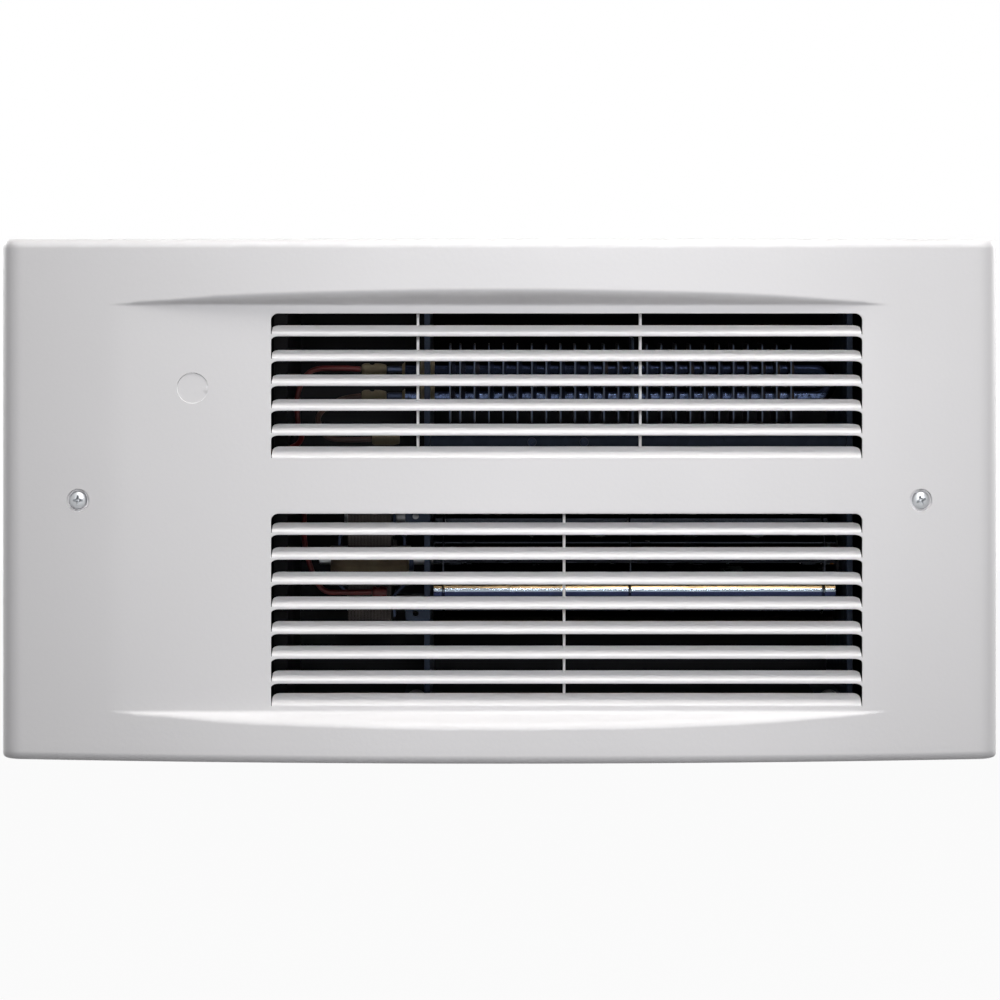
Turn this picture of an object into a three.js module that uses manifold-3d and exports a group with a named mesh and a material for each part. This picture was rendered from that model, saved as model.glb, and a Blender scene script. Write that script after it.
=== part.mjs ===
// Recessed bathroom wall fan heater: a bowed steel cover with two banks of lanced louvres, screwed
// over a wall can that holds a crossflow blower, its shaded-pole motor and a finned heating element.
// Millimetres. X runs to the right, Y into the wall, Z up. The origin is the centre of the wall
// opening, on the wall's face.
import * as THREE from 'three';
import { mergeVertices } from 'three/addons/utils/BufferGeometryUtils.js';
import Module from 'manifold-3d';

const wasm = await Module();
wasm.setup();

// ---------------------------------------------------------------- driving dimensions
const GAP = 0.3; // clearance between pieces that seat on each other
const FAR = 300; // reach of a cutting tool past everything
const degrees = THREE.MathUtils.degToRad;

const COVER = {
  width: 476,
  height: 248,
  depth: 27, // wall face to the crown of the bow
  sheet: 1,
  sideWall: 2.5, // straight part of the side, next to the wall
  sideRadius: 12,
  edgeRadius: 4.5, // along the top and bottom edges
  cornerRadius: 2, // of the outline, seen from the front
};

const RECESS = {
  depth: 8.1, // of the flat panel under the crown
  aboveBanks: 4.5,
  belowBanks: 1.75,
  draft: degrees(33),
  softRadius: 5,
};

const LOUVRE = {
  pastDivider: 5.3, // the openings start this far left of the divider
  pastEndPlate: 3.9, // and end this far right of the right end plate
  pitch: 11.75,
  stripFlat: 1, // flat part of the strip under an opening
  bendRadius: 0.4, // inside the fold
  flapLength: 8.6, // past the fold
  flapAngle: degrees(70),
  lastFlapAngle: degrees(62),
  cornerRadius: 3.3, // of a flap's free corners
  flareWidth: 3.6, // of the corners where a strip runs into the sheet
  flareHeight: 1.9,
  slitWidth: 0.35, // between a flap's end and the sheet
};
const UPPER_BANK = { top: 88.6, firstHeight: 10.8, count: 6, combs: [-38.9, 67.1] };
const LOWER_BANK = { top: -6.3, firstHeight: 10, count: 8, combs: [30.8] };

const COMB = {
  thickness: 1.2,
  frontReach: 2.3, // past the flaps' free edges
  backReach: 4.2,
  headHeight: 5, // over the first opening
  headGap: 1,
  tailLength: 3,
};

const BLANK = { x: -145.5, z: 53.3, radius: 7.3, depth: 0.45, tabWidth: 1.4 };

const CAN = {
  width: 362,
  height: 203,
  depth: 95,
  sheet: 1.2,
  flangeWidth: 24,
};
const COVER_SCREW = {
  fromCanSide: 19, // outwards, in the can's flange
  seatDepth: 1.5,
  dimpleRadius: 5,
  headRadius: 4.3,
  headHeight: 2.4,
  shankRadius: 2.1,
  pastFlange: 6,
  rightTurn: 20, // degrees that the right one's recess is turned
};
const STUD_HOLE = { depth: 30, height: 70, radius: 2.6 };
const CABLE = {
  fromCanSide: 31,
  fromCanTop: 40.3,
  boreRadius: 8,
  threadRadius: 10.6,
  threadLength: 9,
  flangeRadius: 13.5,
  flangeHeight: 3,
  tailLength: 14,
  nutRadius: 14.5,
  nutHeight: 4,
};
const GROUND_SCREW = {
  fromCanSide: 16,
  fromCanFloor: 60.3,
  headRadius: 4.4,
  headHeight: 2.4,
  shankRadius: 2,
  shankLength: 6,
};

const CHASSIS = {
  leftFace: -33.6, // air side of the left end plate
  fromCanSide: 11.8, // right end plate's air side to the can
  sheet: 1.2,
  front: 8,
  backGap: 1.8,
  topGap: 4.3,
  rearChamfer: 30,
  lipWidth: 1.6,
  footWidth: 12,
  footMargin: 10, // of a foot past its screws
};
const CHASSIS_SCREW = {
  depths: [30, 75],
  headRadius: 3.6,
  headHeight: 2,
  slotDepth: 0.8,
  slotWidth: 1,
  shankRadius: 2,
  tailLength: 3,
};
const EAR = {
  reach: 7,
  size: 10,
  cornerRadius: 4,
  holeRadius: 1.5,
  aboveShaft: 24.8,
  belowShaft: 22.2,
};
const DIVIDER = {
  x: -103,
  lipWidth: 6,
  slotDepth: 34, // the slot's centre
  slotHeight: 20,
  slotLength: 24,
  slotWidth: 20,
  slotRadius: 6,
};

const WHEEL = {
  radius: 29,
  fromCanBack: 47.8,
  fromCanFloor: 65.8,
  leftGap: 1.3,
  rightGap: 3.4,
  leftDiscInset: 4.9,
  rightDiscInset: 6.1,
  middleDiscShift: -1.75, // from the middle between the end discs
  discSheet: 1,
  blades: 18,
  bladeSheet: 0.8,
  bladeInset: 0.6, // of a blade's edge under the discs' rims
  bladeInnerRadius: 21.5,
  bladeLag: degrees(17),
  bladeBelly: 0.24, // share of the lag that is reached half way out
  hubRadius: 8,
  hubLength: 9,
  eyeRadius: 15.5, // hole in the middle disc
};
const SHAFT = { radius: 2.4, pastMotor: 16, pastPlate: 7 };
const BEARING = {
  holeRadius: 9,
  wall: 2.6,
  innerReach: 4,
  outerReach: 6,
  grommetLip: 2.5,
};
const SCROLL = {
  wheelGap: 6,
  backGap: 5.8,
  topGap: 10.3,
  bendRadius: 50,
  frontReach: 6,
  sheet: 1,
  lean: [[4, 4.5], [0.5, 34.5]], // in front of the back, above the shaft
};

const MOTOR = {
  fromPlate: 19,
  stackLength: 21,
  frontReach: 32, // from the shaft
  backReach: 20,
  halfHeight: 27.5,
  cornerRadius: 2,
  boreRadius: 12.5,
  legWidth: 10,
  windowWidth: 6,
  armHeight: 18.5,
  poleSlotDepth: 9,
  poleSlotWidth: 2,
  rotorGap: 0.4,
  endRing: 2,
  screwOffset: 21.5,
  screwRadius: 2,
  screwHeadRadius: 3.6,
  screwHeadHeight: 2.4,
  spacerRadius: 4.5,
};
const COIL = { build: 8.2, frontBuild: 6, cornerRadius: 4, cheekLip: 0.8, cheekSheet: 1.2 };
const STRAP = { width: 14, rise: 5, foot: 11, slope: 5, bossRadius: 5.5, bossLength: 6, sheet: 1.2 };

const ELEMENT = {
  tubeRadius: 4,
  behindFront: 14,
  fromCanTop: 52.3, // lower leg
  legSpacing: 13,
  leftReach: 12.4, // of the legs, past the left end plate
  bendGap: 14, // from the bend's start to the right end plate
  terminalRadius: 1.6,
  terminalLength: 9,
  finSheet: 0.6,
  finHeight: 38.2,
  finDepth: 26,
  firstFin: 9.6, // from the left end plate
  secondFin: 14.5,
  finPitch: 6.97,
  lastFinGap: 9, // least distance from the bend
  bracketFin: 12, // the fin place that the middle bracket takes
};
const BUSH = { wall: 1.2, flangeLip: 1, outerReach: 5, innerReach: 2 };
const BRACKET = { sheet: 1.2, footLength: 7, footInset: 3, footWidth: 12, overFins: 3 };

const BAFFLE = {
  belowFins: 5.9,
  lipHeight: 13.5,
  shelfDepth: 18,
  sheet: 1,
  tongueGap: 3,
  tongueAngle: degrees(115.2),
  tongueRun: [3, 8],
};
const LIMIT = {
  fromPlate: 49.3,
  holeSpacing: 25.2,
  belowShelf: 3.3,
  holeRadius: 1.8,
  strapMargin: 3.5,
  strapBelow: 4,
  strapSheet: 1,
  bodyWidth: 18,
  bodyHeight: 10,
  bodyDepth: 11,
  bladeSpacing: 10,
  bladeSheet: 0.8,
  bladeLength: 6,
  bladeTop: 3,
  bladeHeight: 5,
  screwRadius: 1.5,
  screwLength: 5,
  headRadius: 2.2,
  headHeight: 1.6,
  slotWidth: 0.7,
  slotDepth: 0.6,
};

const WIRE = { radius: 1.3, sides: 6 };
const CRIMP = {
  radius: 3.1,
  mouthRadius: 2.2,
  taper: 1.2,
  tail: 3,
  elementLength: 12,
  spliceLength: 13.5,
  motorLength: 7,
};
const WIRE_NUT = {
  fromCanSide: 31.8,
  tipRadius: 3.5,
  neckRadius: 5,
  mouthRadius: 6.6,
  length: 18,
  behindSlot: 4,
};

// ---------------------------------------------------------------- places that follow from them
const canX = CAN.width / 2;
const canZ = CAN.height / 2;
const insideX = canX - CAN.sheet;
const insideZ = canZ - CAN.sheet;
const insideY = CAN.depth - CAN.sheet;
const floorZ = -insideZ;
const coverScrewX = canX + COVER_SCREW.fromCanSide;

const plateLeft = CHASSIS.leftFace;
const plateRight = insideX - CHASSIS.fromCanSide;
const plateBack = insideY - CHASSIS.backGap;
const plateTop = insideZ - CHASSIS.topGap;

const shaftY = insideY - WHEEL.fromCanBack;
const shaftZ = floorZ + WHEEL.fromCanFloor;
const wheelLeft = plateLeft + WHEEL.leftGap;
const wheelRight = plateRight - WHEEL.rightGap;
const leftDisc = wheelLeft + WHEEL.leftDiscInset;
const rightDisc = wheelRight - WHEEL.rightDiscInset;
const middleDisc = (leftDisc + rightDisc) / 2 + WHEEL.middleDiscShift;

const elementY = CHASSIS.front + ELEMENT.behindFront;
const lowerLeg = insideZ - ELEMENT.fromCanTop;
const upperLeg = lowerLeg + ELEMENT.legSpacing;
const finBottom = (lowerLeg + upperLeg - ELEMENT.finHeight) / 2;
const finTop = finBottom + ELEMENT.finHeight;
const finFront = elementY - ELEMENT.finDepth / 2;
const shelfZ = finBottom - BAFFLE.belowFins;

const stackRight = plateLeft - MOTOR.fromPlate;
const stackLeft = stackRight - MOTOR.stackLength;
const stackFront = shaftY - MOTOR.frontReach;
const stackBack = shaftY + MOTOR.backReach;
const motorScrewHeights = { upper: shaftZ + MOTOR.screwOffset, lower: shaftZ - MOTOR.screwOffset };

// ---------------------------------------------------------------- colours
const finish = (color, roughness, metalness) =>
  new THREE.MeshStandardMaterial({ color, roughness, metalness });
const COLOURS = {
  enamel: () => finish(0xd9d9dc, 0.5, 0.05),
  zinc: () => finish(0xb6bcc6, 0.35, 0.9),
  galvanised: () => finish(0x8b9098, 0.5, 0.8),
  dark: () => finish(0x26262a, 0.55, 0.4),
  aluminium: () => finish(0x9aa3b0, 0.4, 0.9),
  sheath: () => finish(0x6f7f9c, 0.3, 0.9),
  lamination: () => finish(0x6b5f55, 0.5, 0.6),
  tape: () => finish(0xcbb78f, 0.7, 0),
  bronze: () => finish(0x8a6236, 0.4, 0.8),
  rubber: () => finish(0x1c1c1e, 0.85, 0),
  ceramic: () => finish(0xd6cfbd, 0.6, 0),
  red: () => finish(0xa5231d, 0.5, 0),
  brown: () => finish(0x5a2f20, 0.5, 0),
  black: () => finish(0x202022, 0.5, 0),
  phenolic: () => finish(0x2c2724, 0.5, 0),
};

// ---------------------------------------------------------------- solids
const heater = new THREE.Group();

function solidOf(geometry) {
  geometry.deleteAttribute('normal');
  geometry.deleteAttribute('uv');
  const merged = mergeVertices(geometry, 1e-5);
  const vertProperties = new Float32Array(merged.attributes.position.array);
  const triVerts = new Uint32Array(merged.index.array);
  return new wasm.Manifold(new wasm.Mesh({ numProp: 3, vertProperties, triVerts }));
}

function addPart(name, solid, material) {
  const result = solid.getMesh();
  const geometry = new THREE.BufferGeometry();
  geometry.setAttribute('position', new THREE.BufferAttribute(result.vertProperties, 3));
  geometry.setIndex(new THREE.BufferAttribute(result.triVerts, 1));
  geometry.computeVertexNormals();
  const mesh = new THREE.Mesh(geometry, material());
  mesh.name = name;
  heater.add(mesh);
}

const joined = (solids) => solids.reduce((whole, next) => whole.add(next));
const without = (solid, tools) => tools.reduce((rest, tool) => rest.subtract(tool), solid);

function box(x0, x1, y0, y1, z0, z1) {
  const geometry = new THREE.BoxGeometry(x1 - x0, y1 - y0, z1 - z0);
  geometry.translate((x0 + x1) / 2, (y0 + y1) / 2, (z0 + z1) / 2);
  return solidOf(geometry);
}

// A revolved profile of [radius, distance] points about an axis through (x, y, z).
const TURN_TO = { X: [0, 0, -Math.PI / 2], Y: [0, 0, 0], Z: [Math.PI / 2, 0, 0] };
function revolved(axis, points, x, y, z, segments = 10) {
  const profile = points.map(([radius, along]) => new THREE.Vector2(radius, along));
  const geometry = new THREE.LatheGeometry(profile, segments);
  const turn = new THREE.Euler(...TURN_TO[axis]);
  geometry.applyMatrix4(new THREE.Matrix4().makeRotationFromEuler(turn));
  geometry.translate(x, y, z);
  return solidOf(geometry);
}

const rod = (axis, radius, from, to, x, y, z, segments = 10) =>
  revolved(axis, [[0, from], [radius, from], [radius, to], [0, to]], x, y, z, segments);

function sleeve(axis, inner, outer, from, to, x, y, z) {
  const wall = [[inner, from], [outer, from], [outer, to], [inner, to], [inner, from]];
  return revolved(axis, wall, x, y, z);
}

// The tool for a round hole through one sheet. Its flats lie on the radius, so that a rod clears them.
const HOLE_REACH = 5;
const hole = (axis, radius, x, y, z, segments = 8) =>
  rod(axis, radius / Math.cos(Math.PI / segments), -HOLE_REACH, HOLE_REACH, x, y, z, segments);

function extruded(shape, length, basis) {
  const settings = { depth: length, bevelEnabled: false, curveSegments: 3 };
  const geometry = new THREE.ExtrudeGeometry(shape, settings);
  geometry.applyMatrix4(basis);
  return solidOf(geometry);
}
const AXIS_X = new THREE.Vector3(1, 0, 0);
const AXIS_Y = new THREE.Vector3(0, 1, 0);
const AXIS_Z = new THREE.Vector3(0, 0, 1);

// A shape drawn in (y, z), extruded along X.
function alongX(shape, x0, x1) {
  const basis = new THREE.Matrix4().makeBasis(AXIS_Y, AXIS_Z, AXIS_X).setPosition(x0, 0, 0);
  return extruded(shape, x1 - x0, basis);
}
// A shape drawn in (x, z), extruded along Y.
function alongY(shape, y0, y1) {
  const forwards = AXIS_Y.clone().negate();
  const basis = new THREE.Matrix4().makeBasis(AXIS_X, AXIS_Z, forwards).setPosition(0, y1, 0);
  return extruded(shape, y1 - y0, basis);
}
// A shape drawn in (x, y), extruded along Z.
function alongZ(shape, z0, z1) {
  return extruded(shape, z1 - z0, new THREE.Matrix4().setPosition(0, 0, z0));
}

const polygon = (points) => new THREE.Shape(points.map(([u, v]) => new THREE.Vector2(u, v)));

function roundedRectangle(u0, u1, v0, v1, radius) {
  const shape = new THREE.Shape();
  shape.moveTo(u0 + radius, v0);
  shape.lineTo(u1 - radius, v0);
  shape.absarc(u1 - radius, v0 + radius, radius, -Math.PI / 2, 0);
  shape.lineTo(u1, v1 - radius);
  shape.absarc(u1 - radius, v1 - radius, radius, 0, Math.PI / 2);
  shape.lineTo(u0 + radius, v1);
  shape.absarc(u0 + radius, v1 - radius, radius, Math.PI / 2, Math.PI);
  shape.lineTo(u0, v0 + radius);
  shape.absarc(u0 + radius, v0 + radius, radius, Math.PI, Math.PI * 1.5);
  return shape;
}

// The outline of a bent sheet: a centre line's points, thickened to one side.
function bentSheet(points, thickness) {
  const line = points.map(([u, v]) => new THREE.Vector2(u, v));
  const sideOf = (i) => {
    const along = line[i + 1].clone().sub(line[i]).normalize();
    return new THREE.Vector2(-along.y, along.x);
  };
  const outer = line.map((point, i) => {
    const before = sideOf(Math.max(i - 1, 0));
    const after = sideOf(Math.min(i, line.length - 2));
    const mitre = before.clone().add(after).normalize();
    return point.clone().addScaledVector(mitre, thickness / mitre.dot(after));
  });
  return new THREE.Shape([...line, ...outer.reverse()]);
}

// An outline pushed outwards by a clearance, with mitred corners.
function grown(points, clearance) {
  const count = points.length;
  const sign = Math.sign(THREE.ShapeUtils.area(points));
  return new THREE.Shape(points.map((point, i) => {
    const before = point.clone().sub(points[(i + count - 1) % count]).normalize();
    const after = points[(i + 1) % count].clone().sub(point).normalize();
    const mitre = before.clone().add(after).normalize();
    const out = new THREE.Vector2(mitre.y, -mitre.x).multiplyScalar(sign);
    return point.clone().addScaledVector(out, clearance / Math.max(mitre.dot(after), 0.5));
  }));
}

function arcPoints(centreU, centreV, radius, from, to, steps) {
  return Array.from({ length: steps + 1 }, (_, i) => {
    const angle = from + ((to - from) * i) / steps;
    return [centreU + radius * Math.cos(angle), centreV + radius * Math.sin(angle)];
  });
}

// A closed skin through rings of points, stacked upwards, with flat ends.
function lofted(rings) {
  const count = rings[0].length;
  const ends = THREE.ShapeUtils.triangulateShape(rings[0].map((p) => new THREE.Vector2(p.x, p.y)), []);
  const index = [];
  for (let ring = 0; ring + 1 < rings.length; ring += 1) {
    for (let i = 0; i < count; i += 1) {
      const a = ring * count + i;
      const b = ring * count + ((i + 1) % count);
      index.push(a, b, b + count, a, b + count, a + count);
    }
  }
  const lid = (rings.length - 1) * count;
  for (const [a, b, c] of ends) {
    index.push(a, c, b);
    index.push(lid + a, lid + b, lid + c);
  }
  const geometry = new THREE.BufferGeometry().setFromPoints(rings.flat());
  geometry.setIndex(index);
  return solidOf(geometry);
}

// A round tube along a curve.
function tube(path, radius, sides, steps) {
  const section = polygon(arcPoints(0, 0, radius, 0, Math.PI * 2, sides).slice(0, -1));
  return solidOf(new THREE.ExtrudeGeometry(section, { steps, extrudePath: path, bevelEnabled: false }));
}

// A lead through hand-set points, with a step every three diameters.
function wire(points) {
  const places = points.map(([x, y, z]) => new THREE.Vector3(x, y, z));
  const route = new THREE.CatmullRomCurve3(places, false, 'centripetal');
  return tube(route, WIRE.radius, WIRE.sides, Math.ceil(route.getLength() / (WIRE.radius * 6)));
}

// A pan head with a cross recess, its seat at the origin and its head towards -Y.
function panHead(radius, height, turn) {
  const dome = [
    [0, 0], [radius, 0], [radius, height * 0.45], [radius * 0.86, height * 0.78],
    [radius * 0.5, height], [0, height],
  ];
  const head = revolved('Y', dome, 0, 0, 0, 14).rotate([180, 0, 0]);
  const slot = (long, wide) => box(-long, long, -height - 1, -height * 0.3, -wide, wide);
  const cross = slot(radius * 0.56, radius * 0.14).add(slot(radius * 0.14, radius * 0.56));
  return head.subtract(cross.rotate([0, turn, 0]));
}

// ---------------------------------------------------------------- front cover
const halfWidth = COVER.width / 2;
const halfHeight = COVER.height / 2;
const bowHalf = halfWidth - COVER.sideRadius;
const bowRise = COVER.depth - COVER.sideWall - COVER.sideRadius;
const bowRadius = (bowHalf ** 2 + bowRise ** 2) / (2 * bowRise);
const bowDepth = (x) => COVER.depth - bowRadius + Math.sqrt(bowRadius ** 2 - x ** 2);
const BOW_STEPS = 12; // facets across the bow
const SIDE_STEPS = 4; // facets round a side's radius
const EDGE_STEPS = 3; // facets over a top or bottom edge, and into the recess
const panelY = RECESS.depth - COVER.depth; // face of the flat panel
const panelBack = panelY + COVER.sheet;
const openingLeft = DIVIDER.x - LOUVRE.pastDivider;
const openingRight = plateRight + LOUVRE.pastEndPlate;
const recessTop = UPPER_BANK.top + RECESS.aboveBanks;
const lowestStrip = LOWER_BANK.top - LOWER_BANK.firstHeight - (LOWER_BANK.count - 1) * LOUVRE.pitch;
const recessBottom = lowestStrip - RECESS.belowBanks;

const roundInset = (fromEdge, radius) =>
  fromEdge >= radius ? 0 : radius - Math.sqrt(Math.max(radius ** 2 - (radius - fromEdge) ** 2, 0));

function coverRing(z, offset) {
  const fromEdge = halfHeight - offset - Math.abs(z);
  const frontInset = roundInset(fromEdge, COVER.edgeRadius - offset);
  const sideInset = roundInset(fromEdge, COVER.cornerRadius - offset / 2);
  const radiusX = COVER.sideRadius - offset - sideInset;
  const radiusY = COVER.sideRadius - offset - frontInset;
  const back = offset > 0 ? COVER.sheet : 0;
  const corner = arcPoints(0, 0, 1, 0, Math.PI / 2, SIDE_STEPS);
  const inner = Array.from({ length: BOW_STEPS - 1 }, (_, i) => (2 * (i + 1)) / BOW_STEPS - 1);
  const bow = inner.map((share) => bowHalf * share);
  const side = (sign) => corner.map(([across, out]) => [
    sign * (bowHalf + radiusX * across),
    -COVER.sideWall - radiusY * out,
  ]);
  const ring = [
    [-halfWidth + offset + sideInset, back],
    ...side(-1),
    ...bow.map((x) => [x, offset + frontInset - bowDepth(x)]),
    ...side(1).reverse(),
    [halfWidth - offset - sideInset, back],
  ];
  return ring.map(([x, y]) => new THREE.Vector3(x, y, z));
}

function coverBlock(offset) {
  const radius = COVER.edgeRadius - offset;
  const centre = halfHeight - offset - radius;
  const heights = arcPoints(0, centre, radius, 0, Math.PI / 2, EDGE_STEPS).map(([, z]) => z);
  const levels = [...heights.map((z) => -z).reverse(), ...heights];
  return lofted(levels.map((z) => coverRing(z, offset)));
}

// The pressed panel: a flat between two drafted steps that run out softly into the bow.
function recessTool(offset) {
  const radius = RECESS.softRadius - offset;
  const centreY = RECESS.softRadius - COVER.depth;
  const turned = Math.PI / 2 - RECESS.draft;
  const lineRun = RECESS.depth - RECESS.softRadius * (1 - Math.cos(turned));
  const reach = lineRun * Math.tan(RECESS.draft) + RECESS.softRadius * Math.sin(turned);
  const shift = offset * (1 / Math.cos(RECESS.draft) - Math.tan(RECESS.draft));
  const topZ = recessTop + reach;
  const bottomZ = recessBottom - reach;
  const soft = arcPoints(0, 0, radius, 0, turned, EDGE_STEPS);
  const shape = polygon([
    [panelY + offset, recessBottom - shift],
    [panelY + offset, recessTop + shift],
    ...soft.map(([front, down]) => [centreY - front, topZ - down]).reverse(),
    [-FAR, topZ],
    [-FAR, bottomZ],
    ...soft.map(([front, down]) => [centreY - front, bottomZ + down]),
  ]);
  return alongX(shape, -bowHalf, bowHalf);
}

const screwSeatY = COVER_SCREW.seatDepth - bowDepth(coverScrewX);
const dimpleTool = (side, offset) =>
  rod('Y', COVER_SCREW.dimpleRadius + offset, -FAR, screwSeatY + offset, side * coverScrewX, 0, 0, 20);
const screwHole = (side) =>
  rod('Y', COVER_SCREW.shankRadius + GAP, -FAR, FAR, side * coverScrewX, 0, 0);

// The thermostat blank: a disc half sheared from the panel and held by a tab on its right.
function blankTool(offset) {
  const disc = rod('Y', BLANK.radius, -FAR, panelY + BLANK.depth + offset, BLANK.x, 0, BLANK.z, 24);
  const edge = BLANK.x + BLANK.radius;
  const reach = BLANK.tabWidth;
  const tab = box(edge - reach, edge + reach, -FAR, FAR, BLANK.z - reach, BLANK.z);
  return disc.subtract(tab);
}

function pressedBlock(offset) {
  const tools = [recessTool(offset), dimpleTool(-1, offset), dimpleTool(1, offset), blankTool(offset)];
  return without(coverBlock(offset), tools);
}

// One opening's shape: rounded above, square and sharp at the fold below.
function openingShape(top, fold, cornerWidth, cornerHeight) {
  const left = openingLeft + cornerWidth;
  const right = openingRight - cornerWidth;
  const springZ = top - cornerHeight;
  const shape = new THREE.Shape();
  shape.moveTo(openingLeft, fold);
  shape.lineTo(openingRight, fold);
  shape.lineTo(openingRight, springZ);
  shape.absellipse(right, springZ, cornerWidth, cornerHeight, 0, Math.PI / 2);
  shape.lineTo(left, top);
  shape.absellipse(left, springZ, cornerWidth, cornerHeight, Math.PI / 2, Math.PI);
  return shape;
}

// A flap's section: a root in the sheet, the fold and the blade that slopes up and back.
function flapSection(fold, angle) {
  const centreY = panelBack + LOUVRE.bendRadius;
  const bend = (radius, steps) =>
    arcPoints(0, 0, radius, 0, angle, steps).map(([out, up]) => [centreY - out, fold + up]);
  const runY = Math.sin(angle) * LOUVRE.flapLength;
  const runZ = Math.cos(angle) * LOUVRE.flapLength;
  const tip = ([y, z]) => [y + runY, z + runZ];
  const front = bend(LOUVRE.bendRadius + COVER.sheet, 3);
  const rear = bend(LOUVRE.bendRadius, 1);
  const edge = tip(front.at(-1));
  const backEdge = tip(rear.at(-1));
  const root = fold - LOUVRE.stripFlat / 2;
  return {
    outline: [[panelY, root], ...front, edge, backEdge, ...rear.reverse(), [panelBack, root]],
    tipY: edge[0],
    tipZ: edge[1],
    backY: Math.max(edge[0], backEdge[0]),
  };
}

function flapSolid(section) {
  const left = openingLeft + LOUVRE.slitWidth;
  const right = openingRight - LOUVRE.slitWidth;
  const plan = roundedRectangle(left, right, panelY - FAR, section.backY, LOUVRE.cornerRadius);
  return alongX(polygon(section.outline), left, right).intersect(alongZ(plan, -FAR, FAR));
}

function bankRows(bank) {
  return Array.from({ length: bank.count }, (_, i) => {
    const stripBottom = bank.top - bank.firstHeight - i * LOUVRE.pitch;
    const last = i === bank.count - 1;
    const fold = stripBottom + LOUVRE.stripFlat;
    return {
      top: i === 0 ? bank.top : stripBottom + LOUVRE.pitch,
      fold,
      first: i === 0,
      section: flapSection(fold, last ? LOUVRE.lastFlapAngle : LOUVRE.flapAngle),
    };
  });
}
const upperRows = bankRows(UPPER_BANK);
const lowerRows = bankRows(LOWER_BANK);

function openingTool({ top, fold, first }) {
  const width = first ? LOUVRE.cornerRadius : LOUVRE.flareWidth;
  const height = first ? LOUVRE.cornerRadius : LOUVRE.flareHeight;
  return alongY(openingShape(top, fold, width, height), panelY - COVER.sheet, panelBack + COVER.sheet);
}

function frontCover() {
  const rows = [...upperRows, ...lowerRows];
  const shell = pressedBlock(0).subtract(pressedBlock(COVER.sheet));
  const pierced = without(shell, [...rows.map(openingTool), screwHole(-1), screwHole(1)]);
  return joined([pierced, ...rows.map(({ section }) => flapSolid(section))]);
}

// A notched comb: each flap's free edge sits in a notch of it.
function louvreComb(rows, x) {
  const left = x - COMB.thickness / 2;
  const right = x + COMB.thickness / 2;
  const tipY = Math.max(...rows.map(({ section }) => section.tipY));
  const top = rows[0].top + COMB.headHeight;
  const bottom = rows.at(-1).section.tipZ - COMB.tailLength;
  const blade = box(left, right, tipY - COMB.frontReach, tipY + COMB.backReach, bottom, top);
  const head = box(left, right, panelBack + GAP, tipY, rows[0].top + COMB.headGap, top);
  const notches = rows.map(({ section }) => {
    const around = section.outline.map(([y, z]) => new THREE.Vector2(y, z));
    return alongX(grown(around, GAP), x - COMB.thickness, x + COMB.thickness);
  });
  return without(blade.add(head), notches);
}

function coverScrew(side, turn) {
  const length = COVER_SCREW.pastFlange - screwSeatY;
  const shank = rod('Y', COVER_SCREW.shankRadius, -0.5, length, 0, 0, 0);
  const screw = panHead(COVER_SCREW.headRadius, COVER_SCREW.headHeight, turn).add(shank);
  return screw.translate([side * coverScrewX, screwSeatY, 0]);
}

addPart('front_cover', frontCover(), COLOURS.enamel);
addPart('upper_louvre_comb_left', louvreComb(upperRows, UPPER_BANK.combs[0]), COLOURS.enamel);
addPart('upper_louvre_comb_right', louvreComb(upperRows, UPPER_BANK.combs[1]), COLOURS.enamel);
addPart('lower_louvre_comb', louvreComb(lowerRows, LOWER_BANK.combs[0]), COLOURS.enamel);
addPart('cover_screw_left', coverScrew(-1, 0), COLOURS.zinc);
addPart('cover_screw_right', coverScrew(1, COVER_SCREW.rightTurn), COLOURS.zinc);

// ---------------------------------------------------------------- wall can
const cableX = CABLE.fromCanSide - canX;
const cableZ = insideZ - CABLE.fromCanTop;
const groundX = GROUND_SCREW.fromCanSide - canX;
const groundZ = floorZ + GROUND_SCREW.fromCanFloor;
const footX = {
  left: plateLeft - CHASSIS.sheet - CHASSIS.footWidth / 2,
  right: plateRight - CHASSIS.footWidth / 2,
};
const footHole = (x, y) => hole('Z', CHASSIS_SCREW.shankRadius + GAP, x, y, floorZ);

function wallCan() {
  const shell = box(-canX, canX, -CAN.sheet, CAN.depth, -canZ, canZ)
    .subtract(box(-insideX, insideX, -FAR, insideY, floorZ, insideZ));
  const flange = (side) => {
    const near = side * canX;
    const far = side * (canX + CAN.flangeWidth);
    const plate = box(Math.min(near, far), Math.max(near, far), -CAN.sheet, 0, -canZ, canZ);
    return plate.subtract(screwHole(side));
  };
  const studHoles = [-1, 1].flatMap((side) => [-1, 1].map((row) =>
    hole('X', STUD_HOLE.radius, side * canX, STUD_HOLE.depth, row * STUD_HOLE.height)));
  const backHoles = [
    hole('Y', CABLE.threadRadius + GAP, cableX, CAN.depth, cableZ, 12),
    hole('Y', GROUND_SCREW.shankRadius + GAP, groundX, CAN.depth, groundZ),
  ];
  const footHoles = Object.values(footX).flatMap((x) => CHASSIS_SCREW.depths.map((y) => footHole(x, y)));
  return without(joined([shell, flange(-1), flange(1)]), [...studHoles, ...backHoles, ...footHoles]);
}

// The cable clamp: a flanged sleeve through the back, held by a ring nut inside.
function cableClamp() {
  const inner = insideY - CABLE.threadLength;
  const flangeTop = CAN.depth + CABLE.flangeHeight;
  const tail = CAN.depth + CABLE.tailLength;
  return revolved('Y', [
    [CABLE.boreRadius, inner],
    [CABLE.threadRadius, inner],
    [CABLE.threadRadius, CAN.depth],
    [CABLE.flangeRadius, CAN.depth],
    [CABLE.flangeRadius, flangeTop],
    [CABLE.threadRadius, flangeTop],
    [CABLE.threadRadius, tail],
    [CABLE.boreRadius, tail],
    [CABLE.boreRadius, inner],
  ], cableX, 0, cableZ);
}
const clampNut = () => sleeve('Y', CABLE.threadRadius + GAP, CABLE.nutRadius,
  insideY - CABLE.nutHeight, insideY, cableX, 0, cableZ);

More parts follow.
